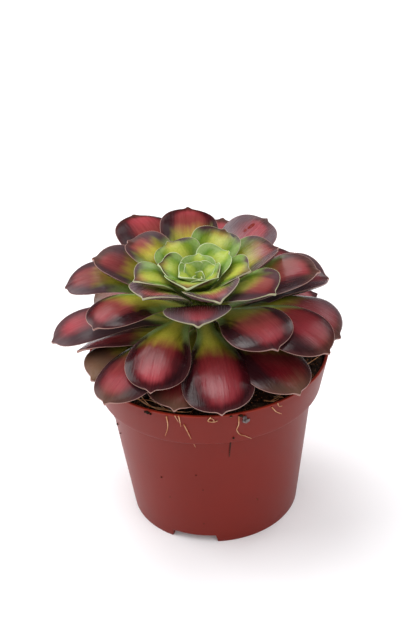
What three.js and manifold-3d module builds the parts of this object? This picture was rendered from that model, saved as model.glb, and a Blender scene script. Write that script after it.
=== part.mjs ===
// A potted aeonium: a shallow bowl of fleshy leaves on a short leaning stem,
// in a round nursery pot with a rim band and a raised bottom that has a notched foot
// ring and a pad in the middle.
// Millimetres, +Z up, origin at the middle of the pot's foot, viewer on the -Y side.
import * as THREE from 'three';
import { mergeVertices } from 'three/addons/utils/BufferGeometryUtils.js';
import Module from 'manifold-3d';

const wasm = await Module();
wasm.setup();

const DEGREE = Math.PI / 180;
const GAP = 0.3;

// Pot
const POT_HEIGHT = 78;
const POT_TOP_RADIUS = 52.5;
const BAND_HEIGHT = 16.5;
const BAND_BOTTOM_RADIUS = 48.9;
const BODY_TOP_RADIUS = 45.4;
const FOOT_RADIUS = 37.8;
const WALL = 1.3;
const FOOT_HEIGHT = 4;
const FOOT_WIDTH = 1.8;
const CENTRE_PAD_RADIUS = 8;
const CENTRE_PAD_TAPER = 0.4;
const EDGE_CHAMFER = 0.4;
const RIM_CHAMFER_HEIGHT = 0.6;
const BAND_CHAMFER = 0.5;
const SHOULDER_RISE = 0.8;
const SHOULDER_FLARE = 0.6;
const POT_SIDES = 60;
const NOTCH_COUNT = 3;
const NOTCH_WIDTH = 20.8;
const NOTCH_HEIGHT = 3.8;
const NOTCH_SLOPE = 0.9;
const FIRST_NOTCH_TURN = -16.2;
const DRAIN_COUNT = 6;
const DRAIN_RADIUS = 3.5;
const DRAIN_RING_RADIUS = 24;
const DRAIN_SIDES = 14;

// Soil
const SOIL_BELOW_RIM = 3;
const SOIL_LUMP = 0.9;
const SOIL_CLEARANCE = 0.2;
const SOIL_BAND_CLEARANCE = 0.9;
const SOIL_RINGS = [1, 0.84, 0.66, 0.46, 0.24, 0];
const SOIL_SIDES = 48;
const CRUMB_COUNT = 14;
const CRUMB_RADIUS = 1.9;
const CRUMB_SEED = 5;
const CRUMB_ZONE = [0.62, 0.88];

// Stem and rosette: the stem leans towards the viewer, and the leaves' heights
// are measured along it from the rosette's centre
const ROSETTE_CENTRE = new THREE.Vector3(-3, 4, 96);
const ROSETTE_LEAN = 17;
const STEM_FOOT = -40;
const STEM_TOP = 5;
const STEM_LOW_RADIUS = 6.6;
const STEM_TOP_RADIUS = 3.6;
const STEM_TAPER_START = -14;
const STEM_SIDES = 14;
const CORE_TOP = 14;
const CORE_TOP_RADIUS = 1.2;

// Leaves: each starts at a height on the stem that falls with its place on the spiral
const FIRST_LEAF_HEIGHT = 8;
const HEIGHT_PER_LEAF = 0.66;
const HEIGHT_PER_HEART_LEAF = 0.35;
const NECK_SHARE = 0.27;
const NECK_END = 0.12;
const WIDEST_AT = 0.73;
const END_ROUNDNESS = 2.3;
const BOW = 1.3;
const CUP_STARTS_AT = 0.1;
const CUP_FULL_AT = 0.6;
const POINT_STARTS_AT = 0.93;
const MIDRIB_STEPS = 200;
const POINT_LENGTH = 1.5;
const POINT_WIDTH = 1.3;
const NECK_THICKNESS = 2.4;
const NECK_THICK_TO = 0.3;
const BLADE_THICKNESS = 1.9;
const END_THICKNESS = 0.9;
const EDGE_THICKNESS = 0.7;
const END_HALF_WIDTH = 0.5;

// Each large leaf: node name, place on the spiral counted outwards, turn in degrees
// from the viewer's side, length, width, slope in degrees at the neck and at the tip,
// how far the edges curl up, roll about the midrib, and sideways swing
const LARGE_LEAVES = [
  ['leaf_01', 0, 20, 28, 27, 63, 19, 45, -3, 0],
  ['leaf_02', 1, -79, 30, 21, 56, 20, 42, 10, 14],
  ['leaf_03', 2, 82, 26, 22, 64, 28, 36, -8, -13],
  ['leaf_04', 3, -3, 30, 29, 44, 15, 24, 2, 3],
  ['leaf_05', 4, -150, 24, 23, 55, 12, 32, 1, 1],
  ['leaf_06', 5, 68, 37, 27, 49, 14, 22, -9, -17],
  ['leaf_07', 6, -59, 32, 29, 58, 25, 18, 20, 16],
  ['leaf_08', 7, 159, 30, 24, 51, 4, 39, 4, -6],
  ['leaf_09', 9, -133, 37, 23, 44, 3, 38, 9, 7],
  ['leaf_10', 11, -33, 53, 27, 26, -13, -14, -3, 24],
  ['leaf_11', 12, -173, 47, 26, 31, -5, 6, 7, -7],
  ['leaf_12', 13, 46, 48, 29, 39, -4, 6, -4, -18],
  ['leaf_13', 14, -82, 50, 24, 40, -1, -2, 14, 46],
  ['leaf_14', 15, 123, 38, 25, 40, 5, 57, -12, -7],
  ['leaf_15', 16, 10, 59, 30, 21, -7, -18, 2, -8],
  ['leaf_16', 17, -151, 56, 30, 26, -10, -3, 14, -3],
  ['leaf_17', 18, 63, 61, 28, 33, -12, 4, -9, -20],
  ['leaf_18', 19, -40, 62, 26, 17, -1, -8, 12, 9],
  ['leaf_19', 20, 102, 49, 27, 31, 9, 30, -12, -13],
  ['leaf_20', 21, -120, 47, 25, 32, 9, 42, 11, 11],
  ['leaf_21', 22, 40, 60, 29, 20, -4, 0, -14, -9],
  ['leaf_22', 23, 151, 53, 25, 28, -5, 16, 4, -11],
  ['leaf_23', 25, -12, 52, 29, 23, -4, -6, 1, 0],
  ['leaf_24', 26, 77, 60, 33, 38, -17, -22, 2, -23],
  ['leaf_25', 28, -121, 61, 20, 46, -38, 0, -3, 31],
  ['leaf_26', 28, 104, 53, 31, 33, -10, 49, -9, -6],
  ['leaf_27', 29, -83, 61, 20, 36, -20, 3, 3, 16],
  ['leaf_28', 30, -68, 51, 28, 26, 2, -4, 48, 5],
  ['leaf_29', 31, 168, 54, 28, 16, 0, 10, 0, 0],
  ['leaf_30', 32, -51, 53, 32, 20, 7, -22, -4, 1],
  ['leaf_31', 33, -148, 52, 28, 14, -4, 8, 0, 0],
  ['leaf_32', 34, 132, 52, 28, 14, -6, 8, 0, 0],
  ['leaf_33', 35, 180, 50, 28, 6, -26, -12, 0, 0],
  ['leaf_34', 36, -126, 50, 27, 8, -16, -12, 0, 0],
  ['leaf_35', 37, 112, 50, 27, 8, -15, -12, 0, 0],
  ['leaf_36', 38, -160, 46, 26, 2, -28, -14, 0, 0],
  ['leaf_37', 39, 150, 46, 26, 2, -26, -14, 0, 0],
];

// The small leaves of the heart, in the same terms without a node name
const HEART_LEAVES = [
  [-1, 128, 21, 22, 69, 14, 48, -6, -2],
  [-3, -19, 22, 25, 68, 35, 43, 8, 4],
  [-4, -102, 21, 18, 62, 26, 38, 2, 4],
  [-5, 48, 17, 19, 74, 38, 58, -4, -2],
  [-6, 176, 15, 17, 76, 26, 50, 0, 0],
  [-7, -62, 15, 17, 76, 42, 60, 4, 4],
  [-8, 112, 13, 13, 76, 36, 58, 0, -4],
  [-9, -138, 12, 13, 80, 38, 58, 0, 4],
  [-10, 150, 8, 7, 84, 62, 58, 0, 0],
  [-11, -5, 8, 6, 84, 70, 58, 0, 0],
  [-12, -90, 6.5, 5, 84, 68, 58, 0, 0],
  [-13, 60, 6, 5, 86, 72, 58, 0, 0],
];

const LARGE_LEAF_STEPS = [0, 0.15, 0.32, 0.5, 0.66, 0.79, 0.9, 0.97, 1];
const HEART_LEAF_STEPS = [0, 0.25, 0.5, 0.72, 0.88, 0.97, 1];
const STEPS_ACROSS = 4;
const NO_BEND = 1e-3;

const MATERIALS = {
  pot: new THREE.MeshStandardMaterial({ name: 'pot', color: 0x96402f, roughness: 0.45, metalness: 0 }),
  soil: new THREE.MeshStandardMaterial({ name: 'soil', color: 0x1d1410, roughness: 0.95, metalness: 0 }),
  stem: new THREE.MeshStandardMaterial({ name: 'stem', color: 0x6d7a35, roughness: 0.6, metalness: 0 }),
  heart: new THREE.MeshStandardMaterial({ name: 'heart', color: 0x7fa032, roughness: 0.45, metalness: 0 }),
  middle: new THREE.MeshStandardMaterial({ name: 'middle', color: 0x8a6a35, roughness: 0.4, metalness: 0 }),
  outer: new THREE.MeshStandardMaterial({ name: 'outer', color: 0x5b1a24, roughness: 0.38, metalness: 0 }),
};
const LAST_GREEN_PLACE = 7;

function interpolate(x, xs, ys) {
  if (x <= xs[0]) {
    return ys[0];
  }
  for (let i = 1; i < xs.length; i += 1) {
    if (x <= xs[i]) {
      return ys[i - 1] + (ys[i] - ys[i - 1]) * (x - xs[i - 1]) / (xs[i] - xs[i - 1]);
    }
  }
  return ys[ys.length - 1];
}

// How far x has come from start to end, from 0 to 1
function share(x, start, end) {
  return THREE.MathUtils.clamp((x - start) / (end - start), 0, 1);
}

function solidFromArrays(positions, triangles) {
  return new wasm.Manifold(new wasm.Mesh({
    numProp: 3,
    vertProperties: new Float32Array(positions),
    triVerts: new Uint32Array(triangles),
  }));
}

// A closed three.js geometry as a solid: seams are merged and collapsed triangles dropped
function solidFromGeometry(geometry) {
  const bare = geometry.clone();
  bare.deleteAttribute('normal');
  bare.deleteAttribute('uv');
  const merged = mergeVertices(bare, 1e-4);
  const index = merged.index.array;
  const triangles = [];
  for (let i = 0; i < index.length; i += 3) {
    const [a, b, c] = [index[i], index[i + 1], index[i + 2]];
    if (a !== b && b !== c && c !== a) {
      triangles.push(a, b, c);
    }
  }
  return solidFromArrays(merged.attributes.position.array, triangles);
}

function geometryFromSolid(solid) {
  const mesh = solid.getMesh();
  const geometry = new THREE.BufferGeometry();
  geometry.setAttribute('position', new THREE.BufferAttribute(new Float32Array(mesh.vertProperties), 3));
  geometry.setIndex(new THREE.BufferAttribute(new Uint32Array(mesh.triVerts), 1));
  geometry.computeVertexNormals();
  return geometry;
}

function namedMesh(name, solid, material) {
  const mesh = new THREE.Mesh(geometryFromSolid(solid), material);
  mesh.name = name;
  return mesh;
}

function largestPiece(solid) {
  const pieces = solid.decompose();
  pieces.sort((a, b) => b.volume() - a.volume());
  return pieces[0];
}

// The stem and the heart's core are one taper, wide below the lowest leaves
function stemRadius(height) {
  return interpolate(
    height,
    [STEM_TAPER_START, STEM_TOP, CORE_TOP],
    [STEM_LOW_RADIUS, STEM_TOP_RADIUS, CORE_TOP_RADIUS],
  );
}

// Half the leaf's width at share s of its length: a narrow neck that opens smoothly
// to the widest place, then a rounded end
function halfWidth(s, width) {
  if (s >= WIDEST_AT) {
    const past = (s - WIDEST_AT) / (1 - WIDEST_AT);
    return Math.max(END_HALF_WIDTH, width / 2 * Math.sqrt(1 - past ** END_ROUNDNESS));
  }
  const opening = THREE.MathUtils.smoothstep(s, NECK_END, WIDEST_AT);
  return width / 2 * (NECK_SHARE + (1 - NECK_SHARE) * opening);
}

// Points along the midrib: the slope eases from rise to fall, and the path swings sideways
function midribFrames(leaf, steps) {
  const frames = [];
  let [out, side, up] = [leaf.startRadius, 0, leaf.startHeight];
  const stride = leaf.length / MIDRIB_STEPS;
  let done = 0;
  for (const s of steps) {
    const target = Math.round(s * MIDRIB_STEPS);
    for (; done < target; done += 1) {
      const middle = (done + 0.5) / MIDRIB_STEPS;
      const slope = (leaf.rise + (leaf.fall - leaf.rise) * middle ** BOW) * DEGREE;
      const swing = leaf.swing * middle * DEGREE;
      out += Math.cos(slope) * Math.cos(swing) * stride;
      side += Math.cos(slope) * Math.sin(swing) * stride;
      up += Math.sin(slope) * stride;
    }
    const slope = (leaf.rise + (leaf.fall - leaf.rise) * s ** BOW) * DEGREE;
    const swing = leaf.swing * s * DEGREE;
    const along = new THREE.Vector3(
      Math.cos(slope) * Math.cos(swing),
      Math.cos(slope) * Math.sin(swing),
      Math.sin(slope),
    );
    const across = new THREE.Vector3(-Math.sin(swing), Math.cos(swing), 0);
    across.applyAxisAngle(along, leaf.roll * s * DEGREE);
    const normal = new THREE.Vector3().crossVectors(along, across);
    frames.push({ s, point: new THREE.Vector3(out, side, up), along, across, normal });
  }
  return frames;
}

// A leaf is thickest along its midrib and thins towards its edges and its end
function leafThickness(s, v) {
  const middle = interpolate(
    s,
    [0, NECK_THICK_TO, WIDEST_AT, 1],
    [NECK_THICKNESS, NECK_THICKNESS, BLADE_THICKNESS, END_THICKNESS],
  );
  return EDGE_THICKNESS + (middle - EDGE_THICKNESS) * (1 - v * v);
}

// A point of the blade at share v across it, from -1 to 1: the section is an arc whose
// edges curl up by the leaf's cup, and the end is drawn out into a small point
function bladePoint(leaf, frame, v, offset) {
  const w = halfWidth(frame.s, leaf.width) + leaf.grow;
  const full = share(frame.s, CUP_STARTS_AT, CUP_FULL_AT);
  const bend = leaf.cup * full * DEGREE || NO_BEND;
  const x = w * Math.sin(bend * v) / bend;
  const lift = w * (1 - Math.cos(bend * v)) / bend;
  const nearEnd = share(frame.s, POINT_STARTS_AT, 1) ** 2;
  const point = POINT_LENGTH * Math.exp(-((x / POINT_WIDTH) ** 2)) * nearEnd;
  const outwards = frame.normal.clone().multiplyScalar(Math.cos(bend * v));
  outwards.addScaledVector(frame.across, -Math.sin(bend * v));
  return frame.point.clone()
    .addScaledVector(frame.across, x)
    .addScaledVector(frame.normal, lift)
    .addScaledVector(frame.along, point)
    .addScaledVector(outwards, offset);
}

function leafFromNumbers(numbers, steps, grow) {
  const [place, turn, length, width, rise, fall, cup, roll, swing] = numbers;
  const step = place < 0 ? HEIGHT_PER_HEART_LEAF : HEIGHT_PER_LEAF;
  const startHeight = FIRST_LEAF_HEIGHT - step * place;
  const clearance = GAP + NECK_THICKNESS / 2 * Math.sin(rise * DEGREE);
  const startRadius = place < 0 ? stemRadius(startHeight) - 1 : stemRadius(startHeight) + clearance;
  return { place, turn, length, width, rise, fall, cup, roll, swing, startHeight, startRadius, steps, grow };
}

// One leaf as a closed solid: its upper and lower faces on one grid, joined round the edge.
// grow makes it larger all round, to cut room for it in a neighbour.
function leafSolid(leaf) {
  const frames = midribFrames(leaf, leaf.steps);
  const turn = new THREE.Matrix4().makeRotationZ((leaf.turn - 90) * DEGREE);
  const rows = frames.length;
  const columns = STEPS_ACROSS + 1;
  const positions = [];
  for (const side of [1, -1]) {
    for (const frame of frames) {
      for (let j = 0; j < columns; j += 1) {
        const v = -1 + 2 * j / STEPS_ACROSS;
        const offset = side * (leafThickness(frame.s, v) / 2 + leaf.grow);
        positions.push(...bladePoint(leaf, frame, v, offset).applyMatrix4(turn).toArray());
      }
    }
  }
  const lower = rows * columns;
  const at = (i, j) => i * columns + j;
  const triangles = [];
  for (let i = 0; i < rows - 1; i += 1) {
    for (let j = 0; j < columns - 1; j += 1) {
      const [a, b, c, d] = [at(i, j), at(i + 1, j), at(i + 1, j + 1), at(i, j + 1)];
      triangles.push(a, b, c, a, c, d);
      triangles.push(lower + a, lower + c, lower + b, lower + a, lower + d, lower + c);
    }
  }
  const rim = [];
  for (let i = 0; i < rows; i += 1) {
    rim.push(at(i, 0));
  }
  for (let j = 1; j < columns; j += 1) {
    rim.push(at(rows - 1, j));
  }
  for (let i = rows - 2; i >= 0; i -= 1) {
    rim.push(at(i, columns - 1));
  }
  for (let j = columns - 2; j > 0; j -= 1) {
    rim.push(at(0, j));
  }
  rim.forEach((a, k) => {
    const b = rim[(k + 1) % rim.length];
    triangles.push(a, lower + a, lower + b, a, lower + b, b);
  });
  return solidFromArrays(positions, triangles);
}

// A turned solid between two heights on the stem's line
function taperSolid(low, high, sides, radiusAt) {
  const heights = [low, STEM_TAPER_START, STEM_TOP, high].filter((h) => h >= low && h <= high);
  const levels = [...new Set(heights)];
  const profile = [new THREE.Vector2(0, low)];
  for (const height of levels) {
    profile.push(new THREE.Vector2(radiusAt(height), height));
  }
  profile.push(new THREE.Vector2(0, high));
  const geometry = new THREE.LatheGeometry(profile, sides);
  geometry.rotateX(Math.PI / 2);
  return solidFromGeometry(geometry);
}

function buildHeart() {
  let solid = taperSolid(STEM_TOP + GAP, CORE_TOP, STEM_SIDES, stemRadius);
  for (const numbers of HEART_LEAVES) {
    solid = solid.add(leafSolid(leafFromNumbers(numbers, HEART_LEAF_STEPS, 0)));
  }
  return largestPiece(solid);
}

// A leaf gives way to each leaf above it that would touch it
function buildLeaves(heart) {
  const meshes = [];
  const above = [{ solid: heart, room: roomRound(HEART_LEAVES) }];
  for (const [name, ...numbers] of LARGE_LEAVES) {
    let solid = leafSolid(leafFromNumbers(numbers, LARGE_LEAF_STEPS, 0));
    for (const other of above) {
      if (solid.intersect(other.room).volume() > 0) {
        solid = largestPiece(solid.subtract(other.room));
      }
    }
    above.push({ solid, room: leafSolid(leafFromNumbers(numbers, LARGE_LEAF_STEPS, GAP)) });
    const material = numbers[0] <= LAST_GREEN_PLACE ? MATERIALS.middle : MATERIALS.outer;
    meshes.push(namedMesh(name, solid, material));
  }
  return meshes;
}

function roomRound(leaves) {
  let room = null;
  for (const numbers of leaves) {
    const grown = leafSolid(leafFromNumbers(numbers, HEART_LEAF_STEPS, GAP));
    room = room ? room.add(grown) : grown;
  }
  return room;
}

function buildPot() {
  const shoulder = POT_HEIGHT - BAND_HEIGHT;
  const bottomTop = FOOT_HEIGHT + WALL;
  const profile = [
    [0, 0],
    [CENTRE_PAD_RADIUS, 0],
    [CENTRE_PAD_RADIUS + CENTRE_PAD_TAPER, FOOT_HEIGHT],
    [FOOT_RADIUS - FOOT_WIDTH, FOOT_HEIGHT],
    [FOOT_RADIUS - FOOT_WIDTH, 0],
    [FOOT_RADIUS - EDGE_CHAMFER, 0],
    [FOOT_RADIUS, EDGE_CHAMFER],
    [BODY_TOP_RADIUS, shoulder - SHOULDER_RISE],
    [BODY_TOP_RADIUS + SHOULDER_FLARE, shoulder],
    [BAND_BOTTOM_RADIUS - BAND_CHAMFER, shoulder],
    [BAND_BOTTOM_RADIUS, shoulder + BAND_CHAMFER],
    [POT_TOP_RADIUS, POT_HEIGHT - RIM_CHAMFER_HEIGHT],
    [POT_TOP_RADIUS - EDGE_CHAMFER, POT_HEIGHT],
    [POT_TOP_RADIUS - WALL, POT_HEIGHT],
    [BAND_BOTTOM_RADIUS - WALL, shoulder + WALL + BAND_CHAMFER],
    [BODY_TOP_RADIUS - WALL, shoulder - BAND_CHAMFER],
    [innerRadius(bottomTop), bottomTop],
    [0, bottomTop],
  ];
  const lathe = new THREE.LatheGeometry(profile.map(([r, z]) => new THREE.Vector2(r, z)), POT_SIDES);
  lathe.rotateX(Math.PI / 2);
  let pot = solidFromGeometry(lathe);
  for (let i = 0; i < NOTCH_COUNT; i += 1) {
    pot = pot.subtract(footNotch(FIRST_NOTCH_TURN + 360 * i / NOTCH_COUNT));
  }
  for (let i = 0; i < DRAIN_COUNT; i += 1) {
    pot = pot.subtract(drainHole(360 * (i + 0.5) / DRAIN_COUNT));
  }
  return pot;
}

// The radius of the inside of the pot's body
function innerRadius(z) {
  const shoulder = POT_HEIGHT - BAND_HEIGHT;
  return FOOT_RADIUS - WALL + (BODY_TOP_RADIUS - FOOT_RADIUS) * z / shoulder;
}

// A shallow gap with sloping ends, cut up into the foot ring
function footNotch(turn) {
  const half = NOTCH_WIDTH / 2;
  const shape = new THREE.Shape([
    new THREE.Vector2(-half, -1),
    new THREE.Vector2(half, -1),
    new THREE.Vector2(half - NOTCH_SLOPE, NOTCH_HEIGHT),
    new THREE.Vector2(-half + NOTCH_SLOPE, NOTCH_HEIGHT),
  ]);
  const depth = 10;
  const geometry = new THREE.ExtrudeGeometry(shape, { depth, bevelEnabled: false });
  geometry.rotateX(Math.PI / 2);
  geometry.translate(0, -FOOT_RADIUS + depth - 3, 0);
  geometry.rotateZ(turn * DEGREE);
  return solidFromGeometry(geometry);
}

function drainHole(turn) {
  const height = 4 * WALL;
  const geometry = new THREE.CylinderGeometry(DRAIN_RADIUS, DRAIN_RADIUS, height, DRAIN_SIDES);
  geometry.rotateX(Math.PI / 2);
  geometry.translate(0, -DRAIN_RING_RADIUS, FOOT_HEIGHT + WALL / 2);
  geometry.rotateZ(turn * DEGREE);
  return solidFromGeometry(geometry);
}

// Low lumps in the soil's top, as two crossing waves round the pot
function soilLump(radius, angle) {
  const waves = Math.sin(5 * angle + radius / 6) + Math.sin(9 * angle - radius / 4);
  return SOIL_LUMP * waves / 2;
}

function seededRandom(seed) {
  let state = seed;
  return () => {
    state = (state * 16807) % 2147483647;
    return state / 2147483647;
  };
}

function buildSoil(stemHole) {
  const shoulder = POT_HEIGHT - BAND_HEIGHT;
  const top = POT_HEIGHT - SOIL_BELOW_RIM;
  const bottom = FOOT_HEIGHT + WALL + GAP;
  const slope = (POT_TOP_RADIUS - BAND_BOTTOM_RADIUS) / (BAND_HEIGHT - 1);
  const topRadius = POT_TOP_RADIUS - WALL - 2 * GAP - slope * SOIL_BELOW_RIM;
  const inset = GAP + SOIL_CLEARANCE;
  const profile = [
    [0, bottom],
    [innerRadius(bottom) - inset, bottom],
    [BODY_TOP_RADIUS - WALL - inset, shoulder - BAND_CHAMFER],
    [BAND_BOTTOM_RADIUS - WALL - inset, shoulder + WALL + SOIL_BAND_CLEARANCE],
    ...SOIL_RINGS.map((ring) => [ring * topRadius, top]),
  ];
  const lathe = new THREE.LatheGeometry(profile.map(([r, z]) => new THREE.Vector2(r, z)), SOIL_SIDES);
  lathe.rotateX(Math.PI / 2);
  const position = lathe.attributes.position;
  for (let i = 0; i < position.count; i += 1) {
    const radius = Math.hypot(position.getX(i), position.getY(i));
    if (position.getZ(i) > top - 0.1 && radius > 1) {
      const lump = soilLump(radius, Math.atan2(position.getY(i), position.getX(i)));
      position.setZ(i, top + (radius > topRadius - 1 ? -Math.abs(lump) : lump));
    }
  }
  let soil = solidFromGeometry(lathe);
  const random = seededRandom(CRUMB_SEED);
  for (let i = 0; i < CRUMB_COUNT; i += 1) {
    const crumb = new THREE.IcosahedronGeometry(CRUMB_RADIUS * (0.7 + 0.5 * random()), 0);
    const angle = 2 * Math.PI * random();
    const radius = THREE.MathUtils.lerp(...CRUMB_ZONE, random()) * topRadius;
    crumb.scale(1, 1, 0.7);
    crumb.rotateZ(angle * 3);
    crumb.translate(radius * Math.cos(angle), radius * Math.sin(angle), top + 0.2);
    soil = soil.add(solidFromGeometry(crumb));
  }
  return largestPiece(soil.subtract(stemHole));
}

function buildPlant() {
  const plant = new THREE.Group();
  plant.position.copy(ROSETTE_CENTRE);
  plant.rotation.x = ROSETTE_LEAN * DEGREE;
  const stem = taperSolid(STEM_FOOT, STEM_TOP, STEM_SIDES, stemRadius);
  const heart = buildHeart();
  plant.add(namedMesh('stem', stem, MATERIALS.stem));
  plant.add(namedMesh('heart', heart, MATERIALS.heart));
  plant.add(...buildLeaves(heart));
  plant.updateMatrixWorld(true);
  return plant;
}

// The stem's hole in the soil: the stem's own taper with clearance all round
function stemHoleSolid(plantMatrix) {
  const widened = (height) => stemRadius(height) + GAP + 0.1;
  const hole = taperSolid(STEM_FOOT - GAP, STEM_TOP, STEM_SIDES, widened);
  const geometry = geometryFromSolid(hole);
  geometry.applyMatrix4(plantMatrix);
  return solidFromGeometry(geometry);
}

const plant = buildPlant();
const pottedAeonium = new THREE.Group();
pottedAeonium.add(namedMesh('pot', buildPot(), MATERIALS.pot));
pottedAeonium.add(namedMesh('soil', buildSoil(stemHoleSolid(plant.matrixWorld)), MATERIALS.soil));
pottedAeonium.add(plant);

export default pottedAeonium;
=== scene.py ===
"""A potted aeonium: a leaning rosette of waxy leaves on a short stem, in a round nursery pot.

Sizes are in millimetres until a mesh is made, +Z up, with the viewer on the -Y side.
"""

import math

import bpy
import numpy as np
from bpy.props import FloatProperty, FloatVectorProperty, IntProperty, PointerProperty
from mathutils import Matrix, Vector


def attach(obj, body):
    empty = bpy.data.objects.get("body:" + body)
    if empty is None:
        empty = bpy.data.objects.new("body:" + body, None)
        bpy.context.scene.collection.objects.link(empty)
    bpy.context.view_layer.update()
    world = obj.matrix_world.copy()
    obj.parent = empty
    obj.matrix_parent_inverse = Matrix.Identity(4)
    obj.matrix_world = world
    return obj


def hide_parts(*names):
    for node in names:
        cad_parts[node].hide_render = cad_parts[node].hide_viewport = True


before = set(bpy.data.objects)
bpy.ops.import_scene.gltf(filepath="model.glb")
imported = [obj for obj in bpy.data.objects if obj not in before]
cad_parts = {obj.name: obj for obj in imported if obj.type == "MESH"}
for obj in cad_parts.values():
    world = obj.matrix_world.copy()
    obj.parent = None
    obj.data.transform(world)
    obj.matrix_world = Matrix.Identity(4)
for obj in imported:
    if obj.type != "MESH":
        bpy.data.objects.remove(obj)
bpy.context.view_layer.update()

bl_info = {
    "name": "Potted Aeonium",
    "version": (1, 0, 0),
    "blender": (4, 5, 0),
    "location": "View3D > Sidebar > Aeonium",
    "description": "Builds a potted aeonium with its soil, stem, leaves and studio stage",
    "category": "Add Mesh",
}

MM = 0.001
BODY = "root"

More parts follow.
